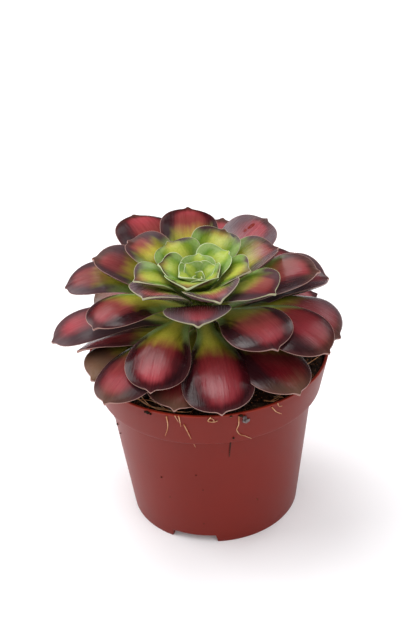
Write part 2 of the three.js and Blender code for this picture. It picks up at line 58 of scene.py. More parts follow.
# Each large leaf: the node that it stands for, its place on the spiral counted outwards,
# turn in degrees from the viewer's side, length, width, slope in degrees at the neck and
# at the tip, how far the edges curl up, roll about the midrib, and sideways swing. Then
# its looks: the share of its length where the red begins, how rosy its middle is, how
# orange the change to red is, how tan its tip is, how waxy it is, which also paints a pale
# sheen, how far the rosy middle lies to one side, which paints shade on the other side,
# and how glossy it is
LARGE_LEAVES = (
    ("leaf_01", 0, 20, 28, 27, 63, 19, 45, -3, 0, 0.81, 0.85, 0.6, 0.04, 0.43, 0.04, 0.6),
    ("leaf_02", 1, -79, 30, 21, 56, 20, 42, 10, 14, 0.95, 0.58, 0.72, 0.24, 0.15, 0.06, 0.6),
    ("leaf_03", 2, 82, 26, 22, 64, 28, 36, -8, -13, 0.95, 0.73, 0.36, 0.01, 0.18, 0.06, 0.4),
    ("leaf_04", 3, -3, 30, 29, 44, 15, 24, 2, 3, 0.32, 0.8, 0.15, 0.14, 0.45, 0.02, 0.5),
    ("leaf_05", 4, -150, 24, 23, 55, 12, 32, 1, 1, 1.01, 0.6, 0.75, 0.01, 0, 0.09, 0.4),
    ("leaf_06", 5, 68, 37, 27, 49, 14, 22, -9, -17, 0.73, 0.12, 0.62, 0, 0.15, 0.07, 0.2),
    ("leaf_07", 6, -59, 32, 29, 58, 25, 18, 20, 16, 0.79, 1.01, 1.02, 0.38, 0.53, 0.07, 0.8),
    ("leaf_08", 7, 159, 30, 24, 51, 4, 39, 4, -6, 0.93, 0.63, 0.13, 0.1, 0.1, -0.01, 0.6),
    ("leaf_09", 9, -133, 37, 23, 44, 3, 38, 9, 7, 0.8, 0.89, 0.71, 0.43, 0.16, 0.03, 0.3),
    ("leaf_10", 11, -33, 53, 27, 26, -13, -14, -3, 24, 0.58, 1, 0.07, 0, 0, -0.07, 0.7),
    ("leaf_11", 12, -173, 47, 26, 31, -5, 6, 7, -7, 0.7, 1.03, 0.46, 0.34, 0.01, -0.05, 0.2),
    ("leaf_12", 13, 46, 48, 29, 39, -4, 6, -4, -18, 0.56, 0.62, 0.76, 0.01, 0.02, 0.11, 1),
    ("leaf_13", 14, -82, 50, 24, 40, -1, -2, 14, 46, 0.64, 0.75, 0.49, 0, 0.01, -0.13, 0.7),
    ("leaf_14", 15, 123, 38, 25, 40, 5, 57, -12, -7, 0.78, 0.74, 0.94, 0.26, 0.44, 0.2, 1.1),
    ("leaf_15", 16, 10, 59, 30, 21, -7, -18, 2, -8, 0.48, 0.5, 0.01, 0.03, 0, 0.07, 0.8),
    ("leaf_16", 17, -151, 56, 30, 26, -10, -3, 14, -3, 0.61, 1, 0.58, 0.42, 0.04, -0.05, 0.2),
    ("leaf_17", 18, 63, 61, 28, 33, -12, 4, -9, -20, 0.46, 0.38, 0.04, 0.41, 0.02, 0.26, 0.5),
    ("leaf_18", 19, -40, 62, 26, 17, -1, -8, 12, 9, 0.55, 0.65, 0.5, 0.5, 0.07, -0.11, 0.3),
    ("leaf_19", 20, 102, 49, 27, 31, 9, 30, -12, -13, 0.56, 0.65, 0.96, 0.49, 0.06, 0.26, 0.8),
    ("leaf_20", 21, -120, 47, 25, 32, 9, 42, 11, 11, 0.71, 1.03, 0.25, 0.46, 0.18, -0.05, 0.3),
    ("leaf_21", 22, 40, 60, 29, 20, -4, 0, -14, -9, 0.56, 0, 0.1, 0.56, 0.01, 0.28, 0.6),
    ("leaf_22", 23, 151, 53, 25, 28, -5, 16, 4, -11, 0.39, 1.05, 0.15, 0.39, 0.56, -0.03, 1.2),
    ("leaf_23", 25, -12, 52, 29, 23, -4, -6, 1, 0, 0.6, 0.01, 0.36, 0.55, 0, 0, 0.2),
    ("leaf_24", 26, 77, 60, 33, 38, -17, -22, 2, -23, 0.55, 0.37, 0.07, 0.44, 0.41, 0.19, 0.5),
    ("leaf_25", 28, -121, 61, 20, 46, -38, 0, -3, 31, 0.72, 0.83, 0.39, 0.13, 0.21, -0.06, 0.4),
    ("leaf_26", 28, 104, 53, 31, 33, -10, 49, -9, -6, 0.43, 0.09, 0.26, 0.01, 0.35, 0.11, 1.2),
    ("leaf_27", 29, -83, 61, 20, 36, -20, 3, 3, 16, 0.47, 1.08, 0.01, 0, 0.23, -0.26, 0.4),
    ("leaf_28", 30, -68, 51, 28, 26, 2, -4, 48, 5, 0.48, 0.03, 0.07, 0.03, 0.03, 0.23, 0.2),
    ("leaf_29", 31, 168, 54, 28, 16, 0, 10, 0, 0, 0.4, 1.03, 0.1, 0.42, 0.25, 0.06, 1),
    ("leaf_30", 32, -51, 53, 32, 20, 7, -22, -4, 1, 0.73, 0.35, 0.6, 1, 0, 0, 0.2),
    ("leaf_31", 33, -148, 52, 28, 14, -4, 8, 0, 0, 0.4, 0.6, 0.1, 0, 0.1, -0.1, 1),
    ("leaf_32", 34, 132, 52, 28, 14, -6, 8, 0, 0, 0.4, 0.5, 0.1, 0, 0.1, 0, 1),
    ("leaf_33", 35, 180, 50, 28, 6, -26, -12, 0, 0, 0.4, 0.6, 0.1, 0, 0.1, 0.1, 1),
    ("leaf_34", 36, -126, 50, 27, 8, -16, -12, 0, 0, 0.44, 0.92, 0.21, 0.87, 0.1, 0.19, 1.2),
    ("leaf_35", 37, 112, 50, 27, 8, -15, -12, 0, 0, 0.4, 0.98, 0.1, 0.1, 0.22, 0.03, 1.2),
    ("leaf_36", 38, -160, 46, 26, 2, -28, -14, 0, 0, 0.45, 0.4, 0.3, 0.5, 0.1, 0, 1),
    ("leaf_37", 39, 150, 46, 26, 2, -26, -14, 0, 0, 0.4, 0.4, 0.2, 0.4, 0.1, 0, 1),
)
LAST_MIDDLE_PLACE = 7
HEART_GLOSS = 0.6

# Dead spots: share along the leaf, share across it, and how far each reaches in those shares
RUST_SCARS = ((0.855, 0.17, 0.03, 0.08), (0.82, 0.19, 0.022, 0.06), (0.77, 0.22, 0.02, 0.05))
ROT_SCARS = ((0.94, -0.7, 0.035, 0.09),)
LEAF_MARKS = {
    "leaf_22": (RUST_SCARS, (0.2, 0.012, 0.006, 1)),
    "leaf_08": (ROT_SCARS, (0.03, 0.02, 0.02, 1)),
}

# What each finish changes in the leaf pigment
LEAF_FINISHES = {
    "middle_leaf": ("Middle leaf", {
        "Margin": (0.42, 0.4, 0.25, 1), "Margin width": 0.21, "Ribs": 0.3}),
    "outer_leaf": ("Outer leaf", {
        "Yellow": (0.467, 0.409, 0.0479, 1), "Green": (0.196, 0.22, 0.0082, 1)}),
    "heart_leaf": ("Heart leaf", {
        "Margin": (0.56, 0.62, 0.36, 1), "Margin width": 0.24, "Ribs": 0.3,
        "Yellow": (0.366, 0.437, 0.0692, 1), "Green": (0.0985, 0.214, 0.0131, 1)}),
}

# The small leaves of the heart, in the same terms without a node
HEART_LEAVES = (
    (-1, 128, 21, 22, 69, 14, 48, -6, -2, 1.2, 0.6, 0.8, 0.0, 0, 0, 0.6),
    (-3, -19, 22, 25, 68, 35, 43, 8, 4, 0.97, 0.6, 0.8, 0.0, 0, 0, 0.6),
    (-4, -102, 21, 18, 62, 26, 38, 2, 4, 0.97, 0.6, 0.8, 0.0, 0, 0, 0.6),
    (-5, 48, 17, 19, 74, 38, 58, -4, -2, 1.0, 0.6, 0.8, 0.0, 0, 0, 0.6),
    (-6, 176, 15, 17, 76, 26, 50, 0, 0, 1.5, 0.6, 0.8, 0.0, 0, 0, 0.6),
    (-7, -62, 15, 17, 76, 42, 60, 4, 4, 1.5, 0.6, 0.8, 0.0, 0, 0, 0.6),
    (-8, 112, 13, 13, 76, 36, 58, 0, -4, 1.5, 0.6, 0.8, 0.0, 0, 0, 0.6),
    (-9, -138, 12, 13, 80, 38, 58, 0, 4, 1.5, 0.6, 0.8, 0.0, 0, 0, 0.6),
    (-10, 150, 8, 7, 84, 62, 58, 0, 0, 1.5, 0.6, 0.8, 0.0, 0, 0, 0.6),
    (-11, -5, 8, 6, 84, 70, 58, 0, 0, 1.5, 0.6, 0.8, 0.0, 0, 0, 0.6),
    (-12, -90, 6.5, 5, 84, 68, 58, 0, 0, 1.5, 0.6, 0.8, 0.0, 0, 0, 0.6),
    (-13, 60, 6, 5, 86, 72, 58, 0, 0, 1.5, 0.6, 0.8, 0.0, 0, 0, 0.6),
)


def measure(name, description, default, **kind):
    """A size, share or power that a user would change."""
    return FloatProperty(name=name, description=description, default=default, **kind)


def whole_number(name, description, default, least):
    """A whole number that a user would change."""
    return IntProperty(name=name, description=description, default=default, min=least)


def swatch(name, description, default):
    """A colour that a user would change."""
    return FloatVectorProperty(name=name, description=description, subtype="COLOR", size=3,
                               min=0.0, max=1.0, default=default)


class AeoniumPot(bpy.types.PropertyGroup):
    """Sizes and colours of the nursery pot."""

    height: measure("Height", "Height of the pot in millimetres", 78.0)
    top_radius: measure("Rim radius", "Outer radius at the rim in millimetres", 52.5)
    band_height: measure("Band height", "Height of the rim band in millimetres", 16.5)
    band_radius: measure("Band radius", "Outer radius at the foot of the band", 48.9)
    body_radius: measure("Body radius", "Outer radius just under the band", 45.4)
    foot_radius: measure("Foot radius", "Outer radius at the foot", 37.8)
    wall: measure("Wall", "Wall thickness in millimetres", 1.3)
    foot_height: measure("Foot height", "Height of the bottom plate over the ground", 4.0)
    notch_height: measure("Notch height", "Height of the gaps in the foot ring", 3.8)
    sides: whole_number("Sides", "Steps round the pot", 240, 24)
    colour: swatch("Plastic", "Colour of the pot", (0.177, 0.0085, 0.0023))
    lip_colour: swatch("Thin lip", "Colour where light comes through the thin lip",
                       (0.27, 0.023, 0.01))


class AeoniumSoil(bpy.types.PropertyGroup):
    """Sizes and colours of the compost."""

    below_rim: measure("Below rim", "Depth of the soil under the rim in millimetres", 3.0)
    lump: measure("Lumps", "Height of the soil's lumps in millimetres", 0.9)
    crumbs: whole_number("Crumbs", "Number of loose crumbs", 1300, 0)
    fibres: whole_number("Fibres", "Number of peat and root fibres", 120, 0)
    colour: swatch("Compost", "Colour of the moist compost", (0.018, 0.009, 0.006))
    fibre_colour: swatch("Fibre", "Colour of peat and root fibres", (0.33, 0.13, 0.045))


class AeoniumLeaves(bpy.types.PropertyGroup):
    """Sizes and colours of the rosette."""

    lean: measure("Lean", "Lean of the rosette towards the viewer", math.radians(17.0),
                  subtype="ANGLE", unit="ROTATION")
    steps_along: whole_number("Steps along", "Rows of faces along a leaf", 64, 12)
    steps_across: whole_number("Steps across", "Columns of faces across a leaf", 30, 8)
    tooth_length: measure("Tooth length", "Length of the fine teeth on the margin", 0.28)
    tooth_spacing: measure("Tooth spacing", "Distance between the teeth", 0.85)
    green: swatch("Green", "Deep green of the young leaf's sides", (0.0868, 0.178, 0.00255))
    glaucous: swatch("Glaucous green", "Waxy green near the young leaf's margin",
                     (0.27, 0.371, 0.121))
    yellow: swatch("Yellow", "Colour along the young leaf's middle", (0.436, 0.45, 0.0717))
    rust: swatch("Rust", "Orange where the yellow turns red", (0.346, 0.0903, 0.068))
    crimson: swatch("Crimson", "Colour of the dark leaf's middle", (0.108, 0.0042, 0.0083))
    rose: swatch("Rose", "Colour of the rosy leaf's middle", (0.36, 0.05, 0.062))
    # Maroon is darker than the sides' own colour: it also paints the shade on them
    maroon: swatch("Maroon", "Colour of the red blade's sides", (0.0227, 0.0038, 0.00555))
    tan: swatch("Tan", "Colour of the older leaves' tips", (0.162, 0.0874, 0.0534))
    plum: swatch("Plum", "Colour of the sides where they keep their wax", (0.0593, 0.0155, 0.0174))
    # Wax: the leaves' dusty bloom, made pale enough to also paint the sheen that upturned leaves
    # reflect
    wax: swatch("Wax", "Colour of the dusty wax on red leaves", (0.244, 0.173, 0.192))
    margin: swatch("Margin", "Colour of the thin pale margin", (0.36, 0.2, 0.17))


class AeoniumStage(bpy.types.PropertyGroup):
    """Camera, lights and floor."""

    focal_length: measure("Focal length", "Camera focal length in millimetres", 69.23)
    ceiling_power: measure("Ceiling light", "Power of the wide light overhead", 5.1)
    side_power: measure("Side light", "Power of the wide light at the left", 7.6)
    key_power: measure("Key light", "Power of the softbox over the back left", 1.25)
    top_power: measure("Top light", "Power of the softbox high over the left", 2.8)
    front_power: measure("Front light", "Power of the wide light over the front", 4.3)
    fill_power: measure("Fill light", "Power of the card at the back right", 0.75)
    surround: measure("Surround", "Brightness of the white surroundings", 0.55)
    gloss_surround: measure("Surround in gloss", "Brightness of the surroundings in reflections",
                            0.06)
    floor_glow: measure("Floor glow", "Light that the lit-through floor gives off", 0.08)
    floor_colour: swatch("Floor", "Colour of the pale floor", (0.93, 0.92, 0.935))


# Mesh making

NO_QUADS = np.zeros((0, 4), dtype=int)
NOISE_CELLS = 64
NOISE_LAYERS = 3


def grid_quads(rows, columns):
    """Corner numbers of the faces of a grid whose columns close on themselves."""
    row, column = np.meshgrid(np.arange(rows - 1), np.arange(columns), indexing="ij")
    after = (column + 1) % columns
    corners = (row * columns + column, (row + 1) * columns + column,
               (row + 1) * columns + after, row * columns + after)
    return np.stack(corners, axis=-1).reshape(-1, 4)


def fan_triangles(ring, centre, forward):
    """Triangles from one ring of corner numbers to a centre."""
    after = np.roll(ring, -1)
    middle = np.full(len(ring), centre)
    order = (ring, after, middle) if forward else (after, ring, middle)
    return np.stack(order, axis=-1)


def closed_surface(rings, first, last, turned=False):
    """The points, quads and triangles of rings of points that close on themselves, with a fan from
    the first ring to a first centre and one from the last ring to a last. Turned ones face the
    other way."""
    rows, columns = rings.shape[:2]
    corners = rows * columns
    quads = grid_quads(rows, columns)
    triangles = np.concatenate([
        fan_triangles(np.arange(columns), corners, not turned),
        fan_triangles(np.arange(corners - columns, corners), corners + 1, turned),
    ])
    points = np.concatenate([rings.reshape(-1, 3), [first, last]])
    return points, (quads[:, ::-1] if turned else quads), triangles


def even_turns(sides):
    """Even steps once round."""
    return np.linspace(0, 2 * math.pi, sides, endpoint=False)


def turned_points(radius, turn, height):
    """Points at a radius and a height, turned about the upright axis from the right."""
    places = np.broadcast_arrays(radius * np.cos(turn), radius * np.sin(turn), height)
    return np.stack(places, axis=-1)


def facing_points(radius, turn, height):
    """Points at a radius and a height, turned about the upright axis from the viewer's side."""
    places = np.broadcast_arrays(radius * np.sin(turn), -radius * np.cos(turn), height)
    return np.stack(places, axis=-1)


def joined(parts):
    """The points, quads and triangles of several parts as one."""
    firsts = np.cumsum([0] + [len(part[0]) for part in parts])
    quads, triangles = (np.concatenate([part[k] + first for part, first in zip(parts, firsts)])
                        for k in (1, 2))
    return np.concatenate([part[0] for part in parts]), quads, triangles


def new_mesh(name, points, quads, triangles, values=None, chart=None, smooth=True):
    """A mesh in metres from points in millimetres, with values and a UV chart on its points."""
    quads = np.asarray(quads, dtype=np.int32).reshape(-1, 4)
    triangles = np.asarray(triangles, dtype=np.int32).reshape(-1, 3)
    corners = np.concatenate([quads.ravel(), triangles.ravel()]).astype(np.int32)
    sizes = np.concatenate([np.full(len(quads), 4), np.full(len(triangles), 3)])
    starts = np.concatenate([[0], np.cumsum(sizes)[:-1]]).astype(np.int32)
    mesh = bpy.data.meshes.new(name)
    mesh.vertices.add(len(points))
    mesh.vertices.foreach_set("co", (np.asarray(points) * MM).astype(np.float32).ravel())
    mesh.loops.add(len(corners))
    mesh.loops.foreach_set("vertex_index", corners)
    mesh.polygons.add(len(sizes))
    mesh.polygons.foreach_set("loop_start", starts)
    mesh.polygons.foreach_set("use_smooth", np.full(len(sizes), smooth))
    for label, data in (values or {}).items():
        attribute = mesh.attributes.new(label, "FLOAT_VECTOR", "POINT")
        attribute.data.foreach_set("vector", np.asarray(data, dtype=np.float32).ravel())
    if chart is not None:
        layer = mesh.uv_layers.new(name="Chart")
        layer.data.foreach_set("uv", np.asarray(chart, dtype=np.float32)[corners].ravel())
    mesh.update(calc_edges=True)
    mesh.validate()
    return mesh


def linked(name, data):
    """A new object in the scene, with its mesh, light or camera."""
    thing = bpy.data.objects.new(name, data)
    bpy.context.scene.collection.objects.link(thing)
    return thing


def add_piece(name, mesh, material, replaced=()):
    """Puts a finished mesh in the scene as a piece of the plant or pot."""
    mesh.materials.append(material)
    piece = linked(name, mesh)
    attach(piece, BODY)
    if replaced:
        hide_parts(*replaced)
    return piece


def unit_rows(vectors):
    """Each row scaled to a length of one."""
    return vectors / np.linalg.norm(vectors, axis=-1, keepdims=True)


def even_rise(x, low, high):
    """Rises evenly from 0 at low to 1 at high."""
    return np.clip((x - low) / (high - low), 0.0, 1.0)


def smooth_step(x, low, high):
    """Rises from 0 at low to 1 at high along a cubic that is level at both ends."""
    t = even_rise(x, low, high)
    return t * t * (3.0 - 2.0 * t)


def value_noise(x, y, seed):
    """Smooth noise from -1 to 1: random values at whole numbers, blended by cubics between."""
    random = np.random.default_rng(seed)
    table = random.uniform(-1.0, 1.0, (NOISE_CELLS, NOISE_CELLS))
    column, row = np.floor(x).astype(int), np.floor(y).astype(int)
    across, up = x - column, y - row
    across = across * across * (3.0 - 2.0 * across)
    up = up * up * (3.0 - 2.0 * up)

    def corner(i, j):
        return table[(row + j) % NOISE_CELLS, (column + i) % NOISE_CELLS]

    low = corner(0, 0) * (1 - across) + corner(1, 0) * across
    high = corner(0, 1) * (1 - across) + corner(1, 1) * across
    return low * (1 - up) + high * up


def layered_noise(x, y, seed):
    """Noise at doubling fineness and halving height, summed."""
    total = np.zeros(np.broadcast(x, y).shape)
    for layer in range(NOISE_LAYERS):
        total += value_noise(x * 2 ** layer, y * 2 ** layer, seed + layer) / 2 ** layer
    return total


# The rosette's frame and the leaf's formula

ROSETTE_CENTRE = np.array([-3.0, 4.0, 96.0])
STEM_HEIGHTS = (-14.0, 5.0, 14.0)
STEM_RADII = (6.6, 3.6, 1.2)
STEM_FOOT = -40.0
STEM_TOP = 5.0
CORE_TOP = 14.0
GAP = 0.3
FIRST_LEAF_HEIGHT = 8.0
HEIGHT_PER_LEAF = 0.66
HEIGHT_PER_HEART_LEAF = 0.35
NECK_SHARE = 0.27
NECK_END = 0.12
WIDEST_AT = 0.73
END_ROUNDNESS = 2.3
BOW = 1.3
POINT_LENGTH = 1.5
POINT_WIDTH = 1.3
NECK_THICKNESS = 2.4
BLADE_THICKNESS = 1.9
END_THICKNESS = 0.9
EDGE_THICKNESS = 0.5
WAVE_HEIGHT = 0.2
MARGIN_WAVE_HEIGHT = 0.22
CREASE_DEPTH = 0.14
CUSHION_HEIGHT = 1.2
UNDER_CUSHION = 0.25
HEART_SINK = 1.0
USUAL_WIDTH = 28.0
CURL_FROM, CURL_UNTIL = 0.1, 0.6
CALM_UNTIL, WAVY_FROM = 0.3, 0.6
CREASE_FROM, CREASE_UNTIL = 0.4, 0.85
CREASE_WIDTH = 1.3
POINT_FROM = 0.93
PATH_STEPS = 400
NECK_ROWS_SHARE = 0.55
SEEDS = 97
TOOTH_HALF_WIDTH = 0.09
TOOTH_ROOT = 0.12
TOOTH_LEAN = 0.6
CORE_SIDES, CORE_ROWS = 24, 28
# The values of the heart's core, which the leaves hide: those of a leaf's neck
CORE_VALUES = (0.1, 0.0, 5.0, 1.5, *([0.0] * 10))


def to_world(points, lean):
    """Points of the rosette's own frame, leaned towards the viewer and moved to its centre."""
    turned = np.array([[1, 0, 0],
                       [0, math.cos(lean), -math.sin(lean)],
                       [0, math.sin(lean), math.cos(lean)]])
    return points @ turned.T + ROSETTE_CENTRE


def stem_radius(height):
    """Radius of the stem and the heart's core, narrowing in two straight tapers."""
    return np.interp(height, STEM_HEIGHTS, STEM_RADII)


class Leaf:
    """The measures of one leaf and its surface as a function of two shares, s and v."""

    def __init__(self, place, turn, length, width, rise, fall, cup, roll, swing,
                 red_from, glow, warm, tan, wax, shift, gloss):
        angles = np.radians((turn, rise, fall, cup, roll, swing))
        self.turn, self.rise, self.fall, self.cup, self.roll, self.swing = angles
        self.length = length
        self.width = width
        self.size = width / USUAL_WIDTH
        self.gloss = gloss
        self.seed = (place * 37 + 500) % SEEDS
        self.looks = (red_from, self.seed / SEEDS, 0.0, glow, warm, tan, wax, shift, 0.0)
        in_heart = place < 0
        step = HEIGHT_PER_HEART_LEAF if in_heart else HEIGHT_PER_LEAF
        self.start_height = FIRST_LEAF_HEIGHT - step * place
        clearance = -HEART_SINK if in_heart else GAP + NECK_THICKNESS / 2 * math.sin(self.rise)
        self.start_radius = stem_radius(self.start_height) + clearance

    def half_width(self, s):
        """Half the width: a neck that opens by a cubic to the widest place, then a rounded end
        that follows the root of one minus a power."""
        opening = smooth_step(s, NECK_END, WIDEST_AT)
        past = even_rise(s, WIDEST_AT, 1)
        neck = NECK_SHARE + (1 - NECK_SHARE) * opening
        return self.width / 2 * neck * np.sqrt(1 - past ** END_ROUNDNESS)

    def heading(self, s):
        """The midrib's direction, whose slope eases from rise to fall by a power of s, and the
        sideways swing, which grows evenly."""
        slope = self.rise + (self.fall - self.rise) * s ** BOW
        swing = self.swing * s
        out = np.cos(slope)
        return np.stack([out * np.cos(swing), out * np.sin(swing), np.sin(slope)], axis=-1), swing

    def midrib(self, s):
        """The midrib's points, as the running sum of its directions, and its along, across and
        normal directions."""
        fine = np.linspace(0.0, 1.0, PATH_STEPS + 1)
        pace = self.heading(fine)[0]
        steps = (pace[1:] + pace[:-1]) / 2 * self.length / PATH_STEPS
        path = np.concatenate([np.zeros((1, 3)), np.cumsum(steps, axis=0)])
        start = (self.start_radius, 0.0, self.start_height)
        point = np.stack([np.interp(s, fine, path[:, k]) + start[k] for k in range(3)], axis=-1)
        along, swing = self.heading(s)
        level = np.stack([-np.sin(swing), np.cos(swing), np.zeros_like(s)], axis=-1)
        roll = (self.roll * s)[..., None]
        across = level * np.cos(roll) + np.cross(along, level) * np.sin(roll)
        return point, along, across, np.cross(along, across)

    def thickness(self, s, v):
        """Thickest along the midrib, thinning as the square of v to a rounded edge."""
        middle = np.interp(s, [0, CALM_UNTIL, WIDEST_AT, 1],
                           [NECK_THICKNESS, NECK_THICKNESS, BLADE_THICKNESS, END_THICKNESS])
        edge = EDGE_THICKNESS * np.sqrt(np.clip(1 - v ** 10, 0.0, 1.0))
        return edge + (middle - EDGE_THICKNESS) * (1 - v * v)

    def surface(self, s, v, side):
        """Points of the leaf. Across the midrib the section is an arc whose edges curl up by the
        cup. The faces lie half a thickness to each side of it, and the blade swells by the cube of
        the distance in from the margin. Low waves run along the margin, and the end is drawn out
        into a small point."""
        point, along, across, normal = self.midrib(s)
        ripple = value_noise(s * 7 + self.seed, np.sign(v) * 3.3 + self.seed, 11)
        width = self.half_width(s) * (1 + 0.01 * ripple * np.abs(v))
        bend = self.cup * even_rise(s, CURL_FROM, CURL_UNTIL)
        bend = np.where(np.abs(bend) < 1e-3, 1e-3, bend)
        x = width * np.sin(bend * v) / bend
        lift = width * (1 - np.cos(bend * v)) / bend
        free = self.size * smooth_step(s, CALM_UNTIL, WAVY_FROM)
        waves = value_noise(s * 5 + self.seed, v * 1.6 + self.seed * 3, 5)
        lift = lift + WAVE_HEIGHT * free * waves
        edge_waves = value_noise(s * 9 + self.seed, np.sign(v) * 5.5, 7)
        lift = lift + MARGIN_WAVE_HEIGHT * free * v ** 4 * edge_waves
        crease = np.exp(-(x / CREASE_WIDTH) ** 2) * smooth_step(s, CREASE_FROM, CREASE_UNTIL)
        fold = CREASE_DEPTH * self.size * crease
        drawn = POINT_LENGTH * min(1.0, self.size * 1.3) * np.exp(-(x / POINT_WIDTH) ** 2)
        drawn = drawn * even_rise(s, POINT_FROM, 1) ** 2
        tilt = (bend * v)[..., None]
        outwards = normal * np.cos(tilt) - across * np.sin(tilt)
        depth = np.clip(self.edge_distance(s, v) / (self.width / 2), 0.0, 1.0)
        cushion = CUSHION_HEIGHT * free * (1 - (1 - depth) ** 3)
        offset = side * self.thickness(s, v) / 2 * min(1.0, 0.45 + self.size * 0.6)
        offset = offset + cushion * np.where(side > 0, 1.0, np.where(side < 0, -UNDER_CUSHION, 0.0))
        place = (point + across * x[..., None] + normal * (lift - fold)[..., None]
                 + along * drawn[..., None] + outwards * offset[..., None])
        cos_turn, sin_turn = math.cos(self.turn), math.sin(self.turn)
        out, aside = place[..., 0], place[..., 1]
        world_x = out * sin_turn + aside * cos_turn
        world_y = -out * cos_turn + aside * sin_turn
        return np.stack([world_x, world_y, place[..., 2]], axis=-1), x

    def edge_distance(self, s, v):
        """Distance from the margin in millimetres, as if the end were part of an ellipse."""
        past = even_rise(s, WIDEST_AT, 1)
        x = np.abs(v) * self.half_width(s) / (self.width / 2)
        reach = np.sqrt(past ** END_ROUNDNESS + x ** 2)
        in_end = (1 - reach) * self.width / 2
        in_neck = (1 - np.abs(v)) * self.half_width(s)
        return np.where(s > WIDEST_AT, in_end, in_neck)

    def values(self, s, v, edge, under=0.0, chart=0.0):
        """What the skin reads at each point, in fourteen columns: the place on the blade, the
        growth, tone and coat, and the chart in centimetres."""
        table = np.zeros((len(s), 14))
        table[:, 0], table[:, 1], table[:, 2] = s, v, edge
        table[:, 3:12] = self.looks
        table[:, 5] = under
        table[:, 12:] = chart
        return table


def rows_to_tip(neck, end):
    """Shares along a leaf: even ones up to the widest place, then ones that crowd by a sine."""
    return np.concatenate([neck, WIDEST_AT + (1 - WIDEST_AT) * np.sin(end)])


def leaf_arrays(leaf, steps_along, steps_across):
    """The leaf's closed surface: rows along s, and columns that run over the upper face and
    back under the lower one, both crowded towards the edges."""
    neck_rows = int(steps_along * NECK_ROWS_SHARE)
    end = np.linspace(0.0, math.pi / 2, steps_along - neck_rows + 1)[1:-1]
    s_rows = rows_to_tip(np.linspace(0.0, WIDEST_AT, neck_rows), end)
    v_half = np.sin(np.linspace(-math.pi / 2, math.pi / 2, steps_across + 1))
    v_loop = np.concatenate([v_half, v_half[-2:0:-1]])
    side_loop = np.repeat([1.0, -1.0], [steps_across + 1, steps_across - 1])
    s, v = np.meshgrid(s_rows, v_loop, indexing="ij")
    side = np.broadcast_to(side_loop, s.shape)
    points, x = leaf.surface(s, v, side)
    end_points, end_x = leaf.surface(np.array([0.0, 1.0]), np.zeros(2), np.zeros(2))
    all_s = np.concatenate([s.ravel(), [0.0, 1.0]])
    all_v = np.concatenate([v.ravel(), [0.0, 0.0]])
    all_x = np.concatenate([x.ravel(), end_x])
    edge = np.maximum(leaf.edge_distance(all_s, all_v), 0.0)
    under = np.concatenate([side.ravel() < 0, [0, 0]])
    chart = np.stack([all_x / 10.0, all_s * leaf.length / 10.0], axis=-1)
    return (*closed_surface(points, *end_points), leaf.values(all_s, all_v, edge, under, chart))


def tooth_arrays(leaf, settings):
    """Fine teeth along both margins: three-sided points set at even steps of the margin's
    length, rooted inside the edge and leaning towards the tip."""
    s = rows_to_tip(np.linspace(0.3, WIDEST_AT, 300), np.linspace(0.01, 1.5, 300))
    length = settings.tooth_length * min(1.0, leaf.length / 30.0)
    faces = np.array([[0, 1, 3], [1, 2, 3], [2, 0, 3], [0, 2, 1]])
    parts = []
    for margin in (-1.0, 1.0):
        edge, inside = (leaf.surface(s, np.full(len(s), v), np.zeros(len(s)))[0]
                        for v in (margin, margin * 0.96))
        run = np.concatenate([[0], np.cumsum(np.linalg.norm(np.diff(edge, axis=0), axis=1))])
        stops = np.arange(settings.tooth_spacing, run[-1], settings.tooth_spacing)
        at, inner = (np.stack([np.interp(stops, run, line[:, k]) for k in range(3)], axis=-1)
                     for line in (edge, inside))
        ahead = unit_rows(np.gradient(at, axis=0))
        away = unit_rows(at - inner)
        height = TOOTH_HALF_WIDTH * np.cross(ahead, away)
        root = at - TOOTH_ROOT * away
        front, back = root + TOOTH_HALF_WIDTH * ahead, root - TOOTH_HALF_WIDTH * ahead
        tip = at + length * unit_rows(away + TOOTH_LEAN * ahead)
        points = np.stack([front, back + height, back - height, tip], axis=1).reshape(-1, 3)
        facing = faces[:, ::-1] if margin < 0 else faces
        triangles = (4 * np.arange(len(stops))[:, None, None] + facing[None]).reshape(-1, 3)
        shares = np.repeat(np.interp(stops, run, s), 4)
        parts.append((points, NO_QUADS, triangles, leaf.values(shares, margin, 0.0)))
    return parts


def leaf_mesh(name, leaves, settings, with_core=False):
    """One mesh for a leaf, or for several leaves that hold together round the heart's core."""
    parts = []
    for leaf in leaves:
        share = min(1.0, 0.35 + leaf.length / 60.0)
        along = max(24, int(settings.steps_along * share))
        across = max(14, int(settings.steps_across * share))
        parts += [leaf_arrays(leaf, along, across), *tooth_arrays(leaf, settings)]
    if with_core:
        core = taper_arrays(np.linspace(STEM_TOP + GAP, CORE_TOP, CORE_ROWS), CORE_SIDES)
        parts.append((*core, np.tile(CORE_VALUES, (len(core[0]), 1))))
    points, quads, triangles = joined(parts)
    table = np.concatenate([part[3] for part in parts])
    labels = ("blade", "growth", "tone", "coat")
    values = {label: table[:, 3 * i:3 * i + 3] for i, label in enumerate(labels)}
    return new_mesh(name, to_world(points, settings.lean), quads, triangles, values, table[:, 12:])


def taper_arrays(heights, sides, relief=None):
    """A closed turned taper: circles of the stem's radius, closed by fans. The relief is a
    function of height and turn, and its result is added to the radius."""
    level, turn = np.meshgrid(heights, even_turns(sides), indexing="ij")
    radius = stem_radius(level) + (relief(level, turn) if relief else 0.0)
    rings = turned_points(radius, turn, level)
    return closed_surface(rings, (0, 0, heights[0]), (0, 0, heights[-1]), True)


# Node trees

